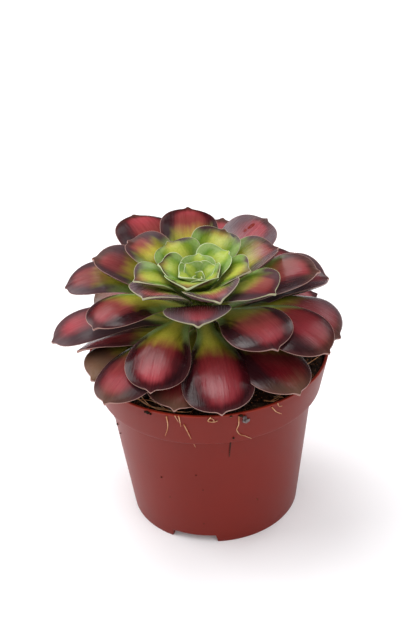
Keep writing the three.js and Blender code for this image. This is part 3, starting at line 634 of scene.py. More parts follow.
class Sheet:
    """Adds nodes to a tree. Every input is a number, a colour or another node's output."""

    def __init__(self, tree):
        self.tree = tree

    def put(self, socket, value):
        """Links an output to a socket, or gives the socket a plain value."""
        if isinstance(value, bpy.types.NodeSocket):
            self.tree.links.new(value, socket)
        else:
            socket.default_value = value

    def add(self, kind, inputs=None, **settings):
        """A new node with its settings made first, because they decide which inputs it has."""
        node = self.tree.nodes.new(kind)
        for key, value in settings.items():
            setattr(node, key, value)
        return self.feed(node, inputs or {})

    def feed(self, node, inputs):
        """Gives the named sockets of a node their values."""
        for key, value in inputs.items():
            self.put(node.inputs[key], value)
        return node

    def math(self, operation, *values):
        """One step of arithmetic."""
        node = self.add("ShaderNodeMath", operation=operation)
        for socket, value in zip(node.inputs, values):
            self.put(socket, value)
        return node.outputs[0]

    def times(self, a, b):
        return self.math("MULTIPLY", a, b)

    def plus(self, a, b):
        return self.math("ADD", a, b)

    def less(self, a, b):
        return self.math("SUBTRACT", a, b)

    def line(self, value, gain, start):
        """The value times a gain, plus a start."""
        return self.math("MULTIPLY_ADD", value, gain, start)

    def rise(self, value, low, high, start=0.0, end=1.0):
        """A smooth rise from start at low to end at high."""
        node = self.add("ShaderNodeMapRange", {
            "Value": value, "From Min": low, "From Max": high, "To Min": start, "To Max": end,
        }, interpolation_type="SMOOTHSTEP")
        return node.outputs["Result"]

    def mix(self, factor, a, b, blend="MIX"):
        """Colour a, giving way to colour b as the factor goes from 0 to 1."""
        inputs = {0: factor, 6: a, 7: b}
        return self.add("ShaderNodeMix", inputs, data_type="RGBA", blend_type=blend).outputs[2]

    def noise(self, vector, scale, detail=2.0, roughness=0.5):
        """Soft noise from 0 to 1."""
        return self.add("ShaderNodeTexNoise", {
            "Vector": vector, "Scale": scale, "Detail": detail, "Roughness": roughness,
        }).outputs["Fac"]

    def scaled(self, vector, scale):
        """A place stretched by a scale for each direction."""
        return self.add("ShaderNodeMapping", {"Vector": vector, "Scale": scale}).outputs["Vector"]

    def place(self):
        """Where a point lies on its object."""
        return self.add("ShaderNodeTexCoord").outputs["Object"]

    def parts(self, vector):
        """The three numbers of a vector."""
        return tuple(self.add("ShaderNodeSeparateXYZ", {0: vector}).outputs)


COLOUR, NUMBER, VECTOR = "NodeSocketColor", "NodeSocketFloat", "NodeSocketVector"
BLADE_VALUES = ("Blade", "Growth", "Tone", "Coat")
SWATCHES = ("Green", "Glaucous", "Yellow", "Rust", "Crimson", "Rose", "Maroon", "Plum", "Wax",
            "Tan", "Margin")
# The leaf's noises, as scale along and across the chart, detail and roughness
STREAKS = ((11.0, 0.8), 3.0, 0.6)
FINE_STREAKS = ((17.0, 1.8), 3.0, 0.65)
BROAD_STREAKS = ((4.5, 0.6), 3.0, 0.6)
PATCHES = ((1.3, 0.9), 2.0, 0.5)
MOTTLES = ((14.0, 9.0), 4.0, 0.7)
# How far apart the leaves' seeds lie in the noise
SEED_SPREAD = 40.0
# The neck's own pale colour, made brighter to paint light into the shade of the leaves above
PALE_NECK_AND_PAINTED_LIGHT = (0.42, 0.44, 0.12, 1)
MOTTLE_SHADE = (0.8, 0.87, 0.7, 1)
RIB_SHADE = (0.84, 0.74, 0.78, 1)
LOWER_FACE_COLOUR = (0.09, 0.07, 0.03, 1)


def new_group(name, inputs, outputs):
    """An empty shader node group with named sockets, and its input and output nodes."""
    group = bpy.data.node_groups.new(name, "ShaderNodeTree")
    for label, kind, *default in inputs:
        socket = group.interface.new_socket(name=label, in_out="INPUT", socket_type=kind)
        if default:
            socket.default_value = default[0]
    for label, kind in outputs:
        group.interface.new_socket(name=label, in_out="OUTPUT", socket_type=kind)
    start = group.nodes.new("NodeGroupInput")
    end = group.nodes.new("NodeGroupOutput")
    return group, Sheet(group), start.outputs, end.inputs


def leaf_pigment_group(settings):
    """Leaf colour from the place on the blade: a yellow middle between green sides, then past
    the place where the red begins a rosy middle between maroon sides, and a thin pale margin.
    The maroon sides are painted shade as well as the leaf's own colour: darker than its own
    maroon, and darkest on the side that the rosy middle leans away from."""
    group, sheet, given, out = new_group(
        "Leaf pigment",
        [*((name, VECTOR) for name in (*BLADE_VALUES, "Chart")),
         *((name, COLOUR, (*getattr(settings, name.lower()), 1)) for name in SWATCHES),
         ("Margin width", NUMBER, 0.2), ("Ribs", NUMBER, 1.0)],
        [("Colour", COLOUR), ("Roughness", NUMBER), ("Height", NUMBER)])
    rise, times, line, mix = sheet.rise, sheet.times, sheet.line, sheet.mix
    plus, less = sheet.plus, sheet.less
    along, across, edge = sheet.parts(given["Blade"])
    red_from, seed, under = sheet.parts(given["Growth"])
    glow, warm, tan = sheet.parts(given["Tone"])
    wax, shift, _ = sheet.parts(given["Coat"])
    side = sheet.math("ABSOLUTE", across)
    chart_x, chart_y, _ = sheet.parts(given["Chart"])
    own_part = times(seed, SEED_SPREAD)
    chart = sheet.add("ShaderNodeCombineXYZ", {0: chart_x, 1: chart_y, 2: own_part}).outputs[0]
    streak, fine, broad, patch, mottle = (
        sheet.noise(sheet.scaled(chart, (*scale, 1.0)), 1.0, detail, roughness)
        for scale, detail, roughness in (STREAKS, FINE_STREAKS, BROAD_STREAKS, PATCHES, MOTTLES))
    uneven = plus(line(broad, 0.9, -0.45), line(patch, 0.8, -0.4))
    ribs = rise(line(fine, 0.35, times(streak, 0.65)), 0.4, 0.66)
    ribs = times(ribs, given["Ribs"])

    # Young leaf: deep green sides, waxy towards the margin, and a yellow middle
    frost = times(rise(edge, 4.9, 1.7), rise(patch, 0.3, 0.6, 0.55, 1.0))
    green = mix(frost, given["Green"], given["Glaucous"])
    middle = rise(line(uneven, 0.4, side), 0.11, 0.71)
    young = mix(middle, given["Yellow"], green)
    # Pale neck, partly painted light: brighter than the neck's own colour to undo the shade of the
    # leaves above
    neck = rise(along, 0.44, 0.05, 0.0, 0.6)
    neck = times(neck, rise(side, 0.9, 0.4))
    young = mix(neck, young, PALE_NECK_AND_PAINTED_LIGHT)
    mottled = mix(1.0, young, MOTTLE_SHADE, blend="MULTIPLY")
    young = mix(rise(mottle, 0.4, 0.65), young, mottled)

    # Red leaf: the green turns to rust, then to dark crimson, and a rosy cloud fills the middle
    # The rosy middle leans to one side, so the flank on the other side turns dark: partly the
    # leaf's own colour, partly painted shade on its lower or front side
    lopsided = less(across, shift)
    off_side = line(uneven, 0.4, sheet.math("ABSOLUTE", lopsided))
    slant = times(times(across, shift), -0.6)
    spread = less(line(uneven, 0.12, along), red_from)
    spread = plus(spread, slant)
    cloud = rise(off_side, 0.8, 0.1)
    cloud = times(cloud, rise(line(uneven, 3.0, edge), 0.8, 5.5))
    early = line(warm, 0.08, spread)
    cloud = times(cloud, rise(early, 0.08, 0.36, 0.04, 1.0))
    rosy = mix(glow, given["Crimson"], given["Rose"])
    red_body = mix(cloud, given["Crimson"], rosy)
    rusty = times(line(warm, 0.85, 0.15), rise(spread, 0.33, -0.04))
    rusty = times(rusty, rise(off_side, 0.8, 0.3))
    red_body = mix(rusty, red_body, given["Rust"])
    # Maroon flanks and rim: the leaf's own dark colour, deepened to near black as painted shade
    flank = rise(off_side, 0.35, 0.83)
    rim = rise(line(uneven, 3.0, edge), 4.5, 0.4, 0.0, 0.9)
    dark = sheet.math("MAXIMUM", flank, rim)
    plum = rise(line(streak, 2.0, edge), 3.4, 1.2, 0.0, 0.8)
    red_body = mix(dark, red_body, mix(plum, given["Maroon"], given["Plum"]))
    # Painted sheen: a pale dusty wax layer that also stands in for the pale reflection on the sides
    # of level and upturned leaves
    wax_and_sheen_share = times(wax, rise(line(patch, 0.5, off_side), 0.3, 1.1, 0.25, 1.0))
    red_body = mix(wax_and_sheen_share, red_body, given["Wax"])
    middle_turn = rise(spread, -0.15, 0.08)
    side_turn = times(flank, rise(spread, -0.2, -0.02))
    ribbed = mix(1.0, red_body, RIB_SHADE, blend="MULTIPLY")
    red_body = mix(ribs, red_body, ribbed)
    body = mix(sheet.math("MAXIMUM", middle_turn, side_turn), young, red_body)
    dry_from = line(tan, -0.4, 1.02)
    dry = rise(line(uneven, 0.15, along), dry_from, plus(dry_from, 0.22))
    dry = times(times(dry, tan), rise(side, 1.0, 0.3, 0.6, 1.0))
    body = mix(dry, body, given["Tan"])

    # The lower face is duller and greener
    dull = mix(0.4, body, LOWER_FACE_COLOUR)
    body = mix(times(under, 0.6), body, dull)

    # Pale margin
    limit = given["Margin width"]
    in_margin = rise(edge, times(limit, 0.4), limit, 1.0, 0.0)
    sheet.put(out["Colour"], mix(in_margin, body, given["Margin"]))
    shine = line(fine, 0.16, line(wax, 0.12, 0.13))
    sheet.put(out["Roughness"], line(in_margin, 0.2, shine))
    sheet.put(out["Height"], line(streak, 0.7, times(fine, 0.3)))
    return group


def leaf_scar_group():
    """A sunken dead spot: how deep in it a place on the blade is, from 0 outside to 1."""
    group, sheet, given, out = new_group(
        "Leaf scar",
        [("Blade", VECTOR), ("Chart", VECTOR),
         ("Centre", VECTOR, (0.8, 0.2, 0.0)), ("Size", VECTOR, (0.04, 0.1, 1.0))],
        [("Depth", NUMBER)])
    along, across, _ = sheet.parts(given["Blade"])
    centre_along, centre_across, _ = sheet.parts(given["Centre"])
    size_along, size_across, _ = sheet.parts(given["Size"])
    ragged = sheet.noise(given["Chart"], 14.0, 3.0, 0.6)
    far_along = sheet.math("DIVIDE", sheet.less(along, centre_along), size_along)
    far_across = sheet.math("DIVIDE", sheet.less(across, centre_across), size_across)
    far_along, far_across = sheet.times(far_along, far_along), sheet.times(far_across, far_across)
    reach = sheet.line(ragged, 1.4, sheet.less(sheet.plus(far_along, far_across), 0.7))
    sheet.put(out["Depth"], sheet.rise(reach, 1.15, 0.75))
    return group


USUAL_GLOSS = 0.5
SCAR_DEPTH = 1.5
RIB_BUMP = (0.55, 0.0003)
FLESH_SHARE = 0.1
FLESH_REACH = (0.004, 0.0015, 0.0008)
DUST_COLOUR = (0.09, 0.02, 0.012, 1)
LUMP_COLOUR = (0.045, 0.022, 0.012, 1)
BIT_COLOUR = (0.27, 0.11, 0.045, 1)


def new_material(name):
    """A new material with its sheet and its shader."""
    material = bpy.data.materials.new(name)
    material.use_nodes = True
    sheet = Sheet(material.node_tree)
    shader = material.node_tree.nodes["Principled BSDF"]
    return material, sheet, shader


def set_finish(sheet, shader, colour, roughness, gloss=USUAL_GLOSS, bump=None):
    """Feeds a colour, a roughness, a constant gloss and, where it is given, a bump of a strength,
    a depth in metres and a height to a shader."""
    sheet.feed(shader, {"Base Color": colour, "Roughness": roughness, "Specular IOR Level": gloss})
    if bump:
        node = sheet.add("ShaderNodeBump", dict(zip(("Strength", "Distance", "Height"), bump)))
        sheet.feed(shader, {"Normal": node.outputs["Normal"]})


def leaf_material(name, pigment_group, changes, gloss, scar_group=None, scars=(), scar_colour=None):
    """Waxy leaf skin: the pigment group's colour and fine lengthwise ribs under a thin gloss,
    and on some leaves a few dead spots."""
    material, sheet, shader = new_material(name)
    given = {label: sheet.add("ShaderNodeAttribute", attribute_name=label.lower()).outputs["Vector"]
             for label in BLADE_VALUES}
    given["Chart"] = sheet.add("ShaderNodeUVMap", uv_map="Chart").outputs["UV"]
    pigment = sheet.add("ShaderNodeGroup", {**given, **changes}, node_tree=pigment_group)
    colour = pigment.outputs["Colour"]
    height = pigment.outputs["Height"]
    for along, across, long, wide in scars:
        sizes = {"Blade": given["Blade"], "Chart": given["Chart"],
                 "Centre": (along, across, 0.0), "Size": (long, wide, 1.0)}
        depth = sheet.add("ShaderNodeGroup", sizes, node_tree=scar_group).outputs["Depth"]
        colour = sheet.mix(depth, colour, scar_colour)
        height = sheet.line(depth, -SCAR_DEPTH, height)
    roughness = pigment.outputs["Roughness"]
    set_finish(sheet, shader, colour, roughness, USUAL_GLOSS * gloss, (*RIB_BUMP, height))
    sheet.feed(shader, {"Subsurface Weight": FLESH_SHARE, "Subsurface Radius": FLESH_REACH})
    return material


def pot_material(settings):
    """Moulded plastic with a faint mottle, fine grain, a little dust and a glowing thin lip."""
    material, sheet, shader = new_material("Pot plastic")
    place = sheet.place()
    mottle = sheet.noise(place, 60.0, 4.0, 0.6)
    grain = sheet.noise(place, 1400.0)
    dust = sheet.noise(place, 420.0, 3.0, 0.7)
    dark, pale = shade(settings.colour, 0.95), shade(settings.colour)
    colour = sheet.mix(sheet.rise(mottle, 0.35, 0.65), dark, pale)
    colour = sheet.mix(sheet.times(sheet.rise(dust, 0.62, 0.74), 0.25), colour, DUST_COLOUR)
    level = sheet.parts(place)[2]
    # Painted glow: the top of the thin lip is painted a brighter red where light shines through it
    lip = sheet.rise(level, (settings.height - 0.9) * MM, (settings.height - 0.1) * MM)
    colour = sheet.mix(lip, colour, shade(settings.lip_colour))
    set_finish(sheet, shader, colour, sheet.line(mottle, 0.08, 0.38), 0.22, (0.12, 0.0002, grain))
    return material


def soil_material(settings):
    """Moist compost: near black with brown and orange bits."""
    material, sheet, shader = new_material("Compost")
    place = sheet.place()
    bits = sheet.noise(place, 700.0, 4.0, 0.7)
    lumps = sheet.noise(place, 220.0, 3.0, 0.6)
    colour = sheet.mix(sheet.rise(lumps, 0.35, 0.7), shade(settings.colour), LUMP_COLOUR)
    colour = sheet.mix(sheet.rise(bits, 0.57, 0.64), colour, BIT_COLOUR)
    set_finish(sheet, shader, colour, sheet.line(bits, 0.3, 0.62), 0.2, (0.8, 0.0006, bits))
    return material


def shade(colour, share=1.0):
    """A share of a colour's brightness, with its alpha."""
    return (*(share * part for part in colour), 1)


def grained_material(name, grain, turn, dark, pale, roughness, bump=None, stretch=None):
    """A dull finish that goes from dark to pale along one noise. The grain is the noise's scale,
    detail and roughness, the turn is where dark gives way to pale, and a roughness of two numbers
    follows the noise as gain and start."""
    material, sheet, shader = new_material(name)
    place = sheet.scaled(sheet.place(), stretch) if stretch else sheet.place()
    noise = sheet.noise(place, *grain)
    if isinstance(roughness, tuple):
        roughness = sheet.line(noise, *roughness)
    colour = sheet.mix(sheet.rise(noise, *turn), dark, pale)
    set_finish(sheet, shader, colour, roughness, bump=bump and (*bump, noise))
    return material


def fibre_material(settings):
    """Dry peat and root fibre, streaked from orange to brown."""
    return grained_material("Fibre", (260.0,), (0.35, 0.65), shade(settings.fibre_colour, 0.45),
                            shade(settings.fibre_colour), 0.7)


def rim_fibre_material():
    """Fresh tan root, paler and pinker in places."""
    return grained_material("Root fibre", (300.0,), (0.4, 0.6), (0.5, 0.2, 0.07, 1),
                            (0.68, 0.38, 0.2, 1), (0.2, 0.5))


def pebble_material():
    """Grey grit with paler and darker grains."""
    return grained_material("Pebble", (900.0, 3.0, 0.7), (0.35, 0.65), (0.06, 0.045, 0.045, 1),
                            (0.27, 0.22, 0.22, 1), 0.85, (0.6, 0.0004))


def stem_material():
    """Green-brown bark with pale bands where old leaves fell."""
    return grained_material("Stem bark", (1.0, 3.0, 0.6), (0.4, 0.65), (0.075, 0.06, 0.025, 1),
                            (0.2, 0.17, 0.09, 1), 0.7, (0.5, 0.0004), (60.0, 60.0, 700.0))


# The pot

NOTCH_COUNT = 3
NOTCH_HALF_TURN = math.radians(16.0)
NOTCH_SLOPE_TURN = math.radians(1.3)
FIRST_NOTCH_TURN = math.radians(-16.2)
CENTRE_PAD_RADIUS = 8.0
DRAIN_COUNT = 6
DRAIN_RADIUS = 3.5
DRAIN_RING_RADIUS = 24.0
DRAIN_SIDES = 24
FOOT_WIDTH = 1.8
PROFILE_STEPS = 5
# Where long runs of the profile get more rings: in millimetres, and as shares of the run
RING_STOPS = (1.3, 2.6, 3.5, 4.3, 5.6)
RING_SHARES = (0.3, 0.65)
LONG_RUN = 2.0


def rounded_profile(corners):
    """A closed run of straight lines whose corners are rounded: each corner gives its radius,
    height and rounding, and becomes a short curve between two points on its sides."""
    points = []
    spots = [np.array(c[:2], dtype=float) for c in corners]
    for i, corner in enumerate(corners):
        spot, round_by = spots[i], corner[2]
        if round_by == 0:
            points.append(spot)
            continue
        before, after = spots[i - 1] - spot, spots[(i + 1) % len(spots)] - spot
        start, end = (spot + way / np.linalg.norm(way) * min(round_by, np.linalg.norm(way) / 2)
                      for way in (before, after))
        t = np.linspace(0, 1, PROFILE_STEPS)[:, None]
        points.extend((1 - t) ** 2 * start + 2 * t * (1 - t) * spot + t ** 2 * end)
    return np.array(points)


def pot_profile(pot):
    """The pot's section from the middle of the underside, up the outside and down the inside."""
    shoulder = pot.height - pot.band_height
    bottom_top = pot.foot_height + pot.wall
    flare = (pot.body_radius - pot.foot_radius) * bottom_top / shoulder
    inner_foot = pot.foot_radius - pot.wall + flare
    corners = [
        (0.0, 0.0, 0),
        (CENTRE_PAD_RADIUS, 0.0, 0.25),
        (CENTRE_PAD_RADIUS + 0.4, pot.foot_height, 0.3),
        (pot.foot_radius - FOOT_WIDTH, pot.foot_height, 0.4),
        (pot.foot_radius - FOOT_WIDTH, 0.0, 0.3),
        (pot.foot_radius, 0.0, 0.7),
        (pot.body_radius, shoulder - 0.4, 0.5),
        (pot.band_radius, shoulder, 0.7),
        (pot.top_radius, pot.height, 0.55),
        (pot.top_radius - pot.wall, pot.height, 0.5),
        (pot.band_radius - pot.wall, shoulder + pot.wall + 0.5, 1.0),
        (pot.body_radius - pot.wall, shoulder - 0.5, 1.0),
        (inner_foot, bottom_top, 1.0),
        (0.0, bottom_top, 0),
    ]
    return rounded_profile(corners)


def notch_height(angle, pot):
    """Height of the foot ring's gaps round the pot: level in each gap, with sloping ends."""
    turn = 2 * math.pi / NOTCH_COUNT
    from_middle = np.abs((angle - FIRST_NOTCH_TURN + turn / 2) % turn - turn / 2)
    share = (NOTCH_HALF_TURN - from_middle) / NOTCH_SLOPE_TURN
    return pot.notch_height * np.clip(share, 0.0, 1.0)


def pot_mesh(pot):
    """The profile turned about the axis. In the notches the foot ring's lower points are lifted."""
    profile = pot_profile(pot)
    ring = profile[1:-1]
    dense = [ring[0]]
    for a, b in zip(ring[:-1], ring[1:]):
        reach = np.linalg.norm(b - a)
        if reach > LONG_RUN:
            stops = np.array([*RING_STOPS, *(share * reach for share in RING_SHARES)])
            stops = np.unique(stops[stops < 0.9 * reach])
            dense.extend(a + (b - a) * stop / reach for stop in stops)
        dense.append(b)
    ring = np.array(dense)
    radius, turn = np.meshgrid(ring[:, 0], notch_angles(pot.sides), indexing="ij")
    height = np.broadcast_to(ring[:, 1][:, None], radius.shape).copy()
    in_foot = radius > pot.foot_radius - FOOT_WIDTH - 0.5
    low = in_foot & (height < pot.notch_height)
    lifted = np.maximum(height, notch_height(turn, pot))
    slope = (pot.body_radius - pot.foot_radius) / (pot.height - pot.band_height)
    outside = radius > pot.foot_radius - 0.7
    cut_radius = pot.foot_radius + slope * lifted * (lifted > height)
    radius = np.where(low & outside, np.maximum(radius, cut_radius), radius)
    height = np.where(low, lifted, height)
    rings = facing_points(radius, turn, height)
    ends = [(0, 0, profile[end, 1]) for end in (0, -1)]
    return new_mesh("pot_shell", *closed_surface(rings, *ends, True))


def notch_angles(sides):
    """Even steps round the pot, with extra ones at the ends of each notch."""
    ends = [FIRST_NOTCH_TURN + i * 2 * math.pi / NOTCH_COUNT + way * share
            for i in range(NOTCH_COUNT) for way in (-1, 1)
            for share in (NOTCH_HALF_TURN, NOTCH_HALF_TURN - NOTCH_SLOPE_TURN)]
    return np.unique(np.concatenate([even_turns(sides), np.mod(ends, 2 * math.pi)]))


def cut_drain_holes(piece, pot):
    """Cuts round holes through the bottom plate with one cutter of short posts."""
    levels = pot.foot_height - 1, pot.foot_height + pot.wall + 1
    parts = []
    for i in range(DRAIN_COUNT):
        turn = 2 * math.pi * (i + 0.5) / DRAIN_COUNT
        middles = [facing_points(DRAIN_RING_RADIUS, turn, level) for level in levels]
        rings = np.stack([turned_points(DRAIN_RADIUS, even_turns(DRAIN_SIDES), 0.0) + middle
                          for middle in middles])
        parts.append(closed_surface(rings, *middles, True))
    cutter = linked("drain_cutter", new_mesh("drain_cutter", *joined(parts)))
    cut = piece.modifiers.new("Drain holes", "BOOLEAN")
    cut.operation = "DIFFERENCE"
    cut.solver = "EXACT"
    cut.object = cutter
    bpy.context.view_layer.update()
    cut_piece = piece.evaluated_get(bpy.context.evaluated_depsgraph_get())
    finished = bpy.data.meshes.new_from_object(cut_piece)
    piece.modifiers.clear()
    piece.data = finished
    bpy.data.objects.remove(cutter)
    if len(finished.polygons) < 1000:
        raise RuntimeError("the pot's drain holes could not be cut")


LUMP_FLATNESS = 0.75


def lump_arrays(centres, radii, seed):
    """Small stones and crumbs: one twelve-cornered ball, stretched and turned for each."""
    random = np.random.default_rng(seed)
    golden = (1 + 5 ** 0.5) / 2
    ball = np.array([(-1, golden, 0), (1, golden, 0), (-1, -golden, 0), (1, -golden, 0),
                     (0, -1, golden), (0, 1, golden), (0, -1, -golden), (0, 1, -golden),
                     (golden, 0, -1), (golden, 0, 1), (-golden, 0, -1), (-golden, 0, 1)])
    ball = ball / np.linalg.norm(ball[0])
    faces = np.array([(0, 11, 5), (0, 5, 1), (0, 1, 7), (0, 7, 10), (0, 10, 11), (1, 5, 9),
                      (5, 11, 4), (11, 10, 2), (10, 7, 6), (7, 1, 8), (3, 9, 4), (3, 4, 2),
                      (3, 2, 6), (3, 6, 8), (3, 8, 9), (4, 9, 5), (2, 4, 11), (6, 2, 10),
                      (8, 6, 7), (9, 8, 1)])
    count = len(centres)
    shape = ball[None] * random.uniform(0.7, 1.2, (count, 12, 1))
    stretch = random.uniform(0.6, 1.35, (count, 1, 3))
    angle = random.uniform(0, 2 * math.pi, count)
    cos_a, sin_a = np.cos(angle)[:, None], np.sin(angle)[:, None]
    shape = shape * stretch * np.asarray(radii)[:, None, None]
    x = shape[..., 0] * cos_a - shape[..., 1] * sin_a
    y = shape[..., 0] * sin_a + shape[..., 1] * cos_a
    points = np.stack([x, y, shape[..., 2] * LUMP_FLATNESS], axis=-1) + np.asarray(centres)[:, None]
    triangles = (np.arange(count)[:, None, None] * 12 + faces[None]).reshape(-1, 3)
    return points.reshape(-1, 3), triangles


def tube_arrays(paths, radii, sides=5):
    """Thin fibres: a ring of points round each step of each path, closed by fans, with the
    radius shrinking towards the far end."""
    angle = even_turns(sides)[None, :, None]
    parts = []
    for path, radius in zip(paths, radii):
        path = np.asarray(path, dtype=float)
        ahead = unit_rows(np.gradient(path, axis=0))
        guide = np.where(np.abs(ahead[:, 2:]) > 0.9, [[1.0, 0.0, 0.0]], [[0.0, 0.0, 1.0]])
        across = unit_rows(np.cross(ahead, guide))
        up = np.cross(across, ahead)
        thin = radius * np.linspace(1.0, 0.35, len(path))[:, None, None]
        spin = across[:, None] * np.cos(angle) + up[:, None] * np.sin(angle)
        parts.append(closed_surface(path[:, None] + thin * spin, path[0], path[-1]))
    return joined(parts)


PATH_STEPS_PER_SPOT = 14


def soft_path(spots):
    """A smooth run through given spots: a spline whose slope at each spot follows its
    neighbours."""
    spots = np.asarray(spots, dtype=float)
    padded = np.concatenate([[2 * spots[0] - spots[1]], spots, [2 * spots[-1] - spots[-2]]])
    t = np.linspace(0, 1, PATH_STEPS_PER_SPOT, endpoint=False)[:, None]
    parts = []
    for a, b, c, d in zip(padded[:-3], padded[1:-2], padded[2:-1], padded[3:]):
        parts.append(0.5 * (2 * b + (c - a) * t + (2 * a - 5 * b + 4 * c - d) * t ** 2
                            + (3 * b - a - 3 * c + d) * t ** 3))
    return np.concatenate(parts + [spots[-1:]])


# Soil

SOIL_RINGS = 84
SOIL_SIDES = 300
CRUMB_SEED, FIBRE_SEED, GRIT_SEED, PEBBLE_SEED = 21, 31, 41, 43


def soil_inner_radius(height, pot):
    """Radius of the inside of the pot at a height, less a little clearance."""
    shoulder = pot.height - pot.band_height
    heights = [pot.foot_height, shoulder - 0.5, shoulder + pot.wall + 0.5, pot.height]
    radii = [pot.foot_radius + 0.3, pot.body_radius, pot.band_radius, pot.top_radius]
    return np.interp(height, heights, radii) - pot.wall - 0.45


def soil_top(x, y, pot, soil):
    """Height of the compost: two crossing waves and layered noise, sinking a little at the wall."""
    radius, angle = np.hypot(x, y), np.arctan2(y, x)
    waves = np.sin(5 * angle + radius / 6) + np.sin(9 * angle - radius / 4)
    rough = 0.55 * layered_noise(x / 3.0 + 20, y / 3.0 + 20, 3)
    wall = soil_inner_radius(pot.height - soil.below_rim, pot)
    sink = -0.5 * smooth_step(radius, wall - 3.0, wall)
    level = pot.height - soil.below_rim + soil.lump * waves / 2
    calm = smooth_step(radius, wall, wall - 2.5)
    return level + np.minimum(rough, 1.0) * (0.35 + 0.65 * calm) + sink


def soil_mesh(pot, soil):
    """Compost: rings of the rough top out to the wall, then the sides and the flat bottom."""
    wall = soil_inner_radius(pot.height - soil.below_rim, pot)
    radius = wall * np.linspace(0, 1, SOIL_RINGS)[1:, None]
    turn = even_turns(SOIL_SIDES)
    level = soil_top(radius * np.cos(turn), radius * np.sin(turn), pot, soil)
    top = turned_points(radius, turn, np.minimum(level, pot.height - 1.2))
    shoulder = pot.height - pot.band_height
    bottom = pot.foot_height + pot.wall + GAP
    sides = [turned_points(soil_inner_radius(height, pot), turn, height)
             for height in (shoulder + 2.2, shoulder - 0.6, bottom)]
    middle = float(soil_top(np.zeros(1), np.zeros(1), pot, soil)[0])
    rings = np.concatenate([top, sides])
    return new_mesh("compost", *closed_surface(rings, (0, 0, middle), (0, 0, bottom)))


# Root fibres that hang over the rim: each is a radius and its spots on the pot's outside, as the
# turn in degrees from the viewer's side and the height in millimetres
RIM_FIBRES = (
    (0.26, ((-20.5, 76.9), (-20.5, 72.9), (-21.3, 69.2), (-23.2, 64.9))),
    (0.3, ((-14.8, 78.2), (-14.6, 77.3), (-14.5, 75.0), (-14.4, 72.1))),
    (0.2, ((-16.4, 78.0), (-16.0, 76.6), (-15.2, 74.6))),
    (0.22, ((-12.9, 73.4), (-10.8, 66.5), (-9.6, 57.4))),
    (0.26, ((-0.6, 78.0), (-1.9, 75.8), (0.7, 75.2), (0.2, 76.8), (-1.2, 77.4))),
    (0.2, ((2.2, 75.6), (0.8, 75.0), (-0.4, 75.4))),
    (0.24, ((11.8, 77.0), (11.8, 72.0), (11.0, 69.2), (12.4, 66.2), (15.1, 64.5), (18.5, 62.0))),
    (0.26, ((27.6, 76.9), (30.5, 73.2), (34.0, 70.5))),
    (0.22, ((30.5, 78.0), (31.5, 76.0), (33.5, 75.2))),
)
SPLINTER = (0.42, ((9.6, 64.5), (9.2, 61.0), (8.1, 51.3)))
# Fibres that lie on the compost or stick out past the rim, as plain spots
LOOSE_FIBRES = (
    (0.4, ((-32.5, -30.6, 75.9), (-29.4, -36.0, 76.6), (-25.2, -40.7, 76.4), (-21.1, -41.7, 76.0),
           (-16.2, -44.3, 76.2))),
    (0.3, ((-25.3, -34.9, 76.4), (-19.1, -39.1, 76.0), (-12.0, -41.5, 76.2))),
    (0.34, ((-36.0, -27.5, 76.6), (-31.5, -33.5, 75.8), (-24.0, -37.5, 76.6),
            (-18.5, -43.5, 76.4))),
    (0.26, ((-30.0, -31.0, 76.2), (-24.0, -42.0, 76.8), (-14.0, -46.0, 76.6), (-8.0, -47.0, 77.0))),
    (0.26, ((-22.0, -43.5, 76.8), (-16.0, -46.5, 77.6), (-11.0, -48.5, 78.1))),
    (0.3, ((36.1, -19.4, 75.9), (40.7, -16.7, 76.8), (45.4, -12.4, 77.0), (50.0, -7.2, 77.0))),
    (0.28, ((24.3, -41.5, 76.4), (28.4, -36.8, 76.0), (31.5, -31.0, 76.6))),
    (0.26, ((21.5, -40.5, 76.2), (25.0, -43.0, 77.4), (27.5, -42.4, 78.0))),
    (0.24, ((27.0, -38.5, 76.8), (29.5, -41.0, 77.6), (25.5, -39.5, 77.2))),
    (0.13, ((49.0, -5.0, 76.4), (51.8, -5.0, 78.4), (54.0, -5.0, 77.4), (58.2, -5.0, 76.6))),
    (0.11, ((49.4, -8.0, 76.2), (51.4, -8.2, 78.4), (53.6, -8.4, 76.4), (57.0, -8.6, 74.6))),
)
# Grit stuck to the pot's outside: turn in degrees, height, and size
GRIT = (
    (-29.7, 76.9, 1.0), (-28.4, 76.2, 0.6), (-31.0, 76.6, 0.6), (8.3, 77.3, 0.6),
    (12.6, 77.0, 1.1), (-29.1, 24.7, 0.3), (-33.0, 35.6, 0.4), (-10.8, 40.9, 0.4),
    (-7.5, 32.2, 0.3), (-8.7, 11.4, 0.4), (25.9, 21.7, 0.4), (-70.6, 49.8, 0.7),
    (-68.3, 45.9, 0.5), (-72.5, 53.0, 0.5),
)
# The pebble on the rim is two lumps
PEBBLE = ((14.4, 75.4, 2.0), (15.2, 73.4, 1.5))


def outside_spots(turn, height, standoff, pot):
    """Points just off the pot's outside from turns in degrees and heights."""
    turn, height = np.radians(turn), np.asarray(height, dtype=float)
    shoulder = pot.height - pot.band_height
    heights = [0.0, shoulder - 0.4, shoulder, pot.height]
    radii = [pot.foot_radius, pot.body_radius, pot.band_radius, pot.top_radius]
    radius = np.interp(height, heights, radii) + standoff
    return facing_points(radius, turn, height)


def outside_path(radius, spots, pot):
    """A smooth fibre along the pot's outside."""
    turn, height = np.array(spots).T
    return soft_path(outside_spots(turn, height, radius + 0.1, pot))


def outside_lumps(name, lumps, pot, seed):
    """Lumps stuck to the pot's outside."""
    turn, height, size = np.array(lumps).T
    points, triangles = lump_arrays(outside_spots(turn, height, 0.35 * size, pot), size, seed)
    return new_mesh(name, points, NO_QUADS, triangles, smooth=False)


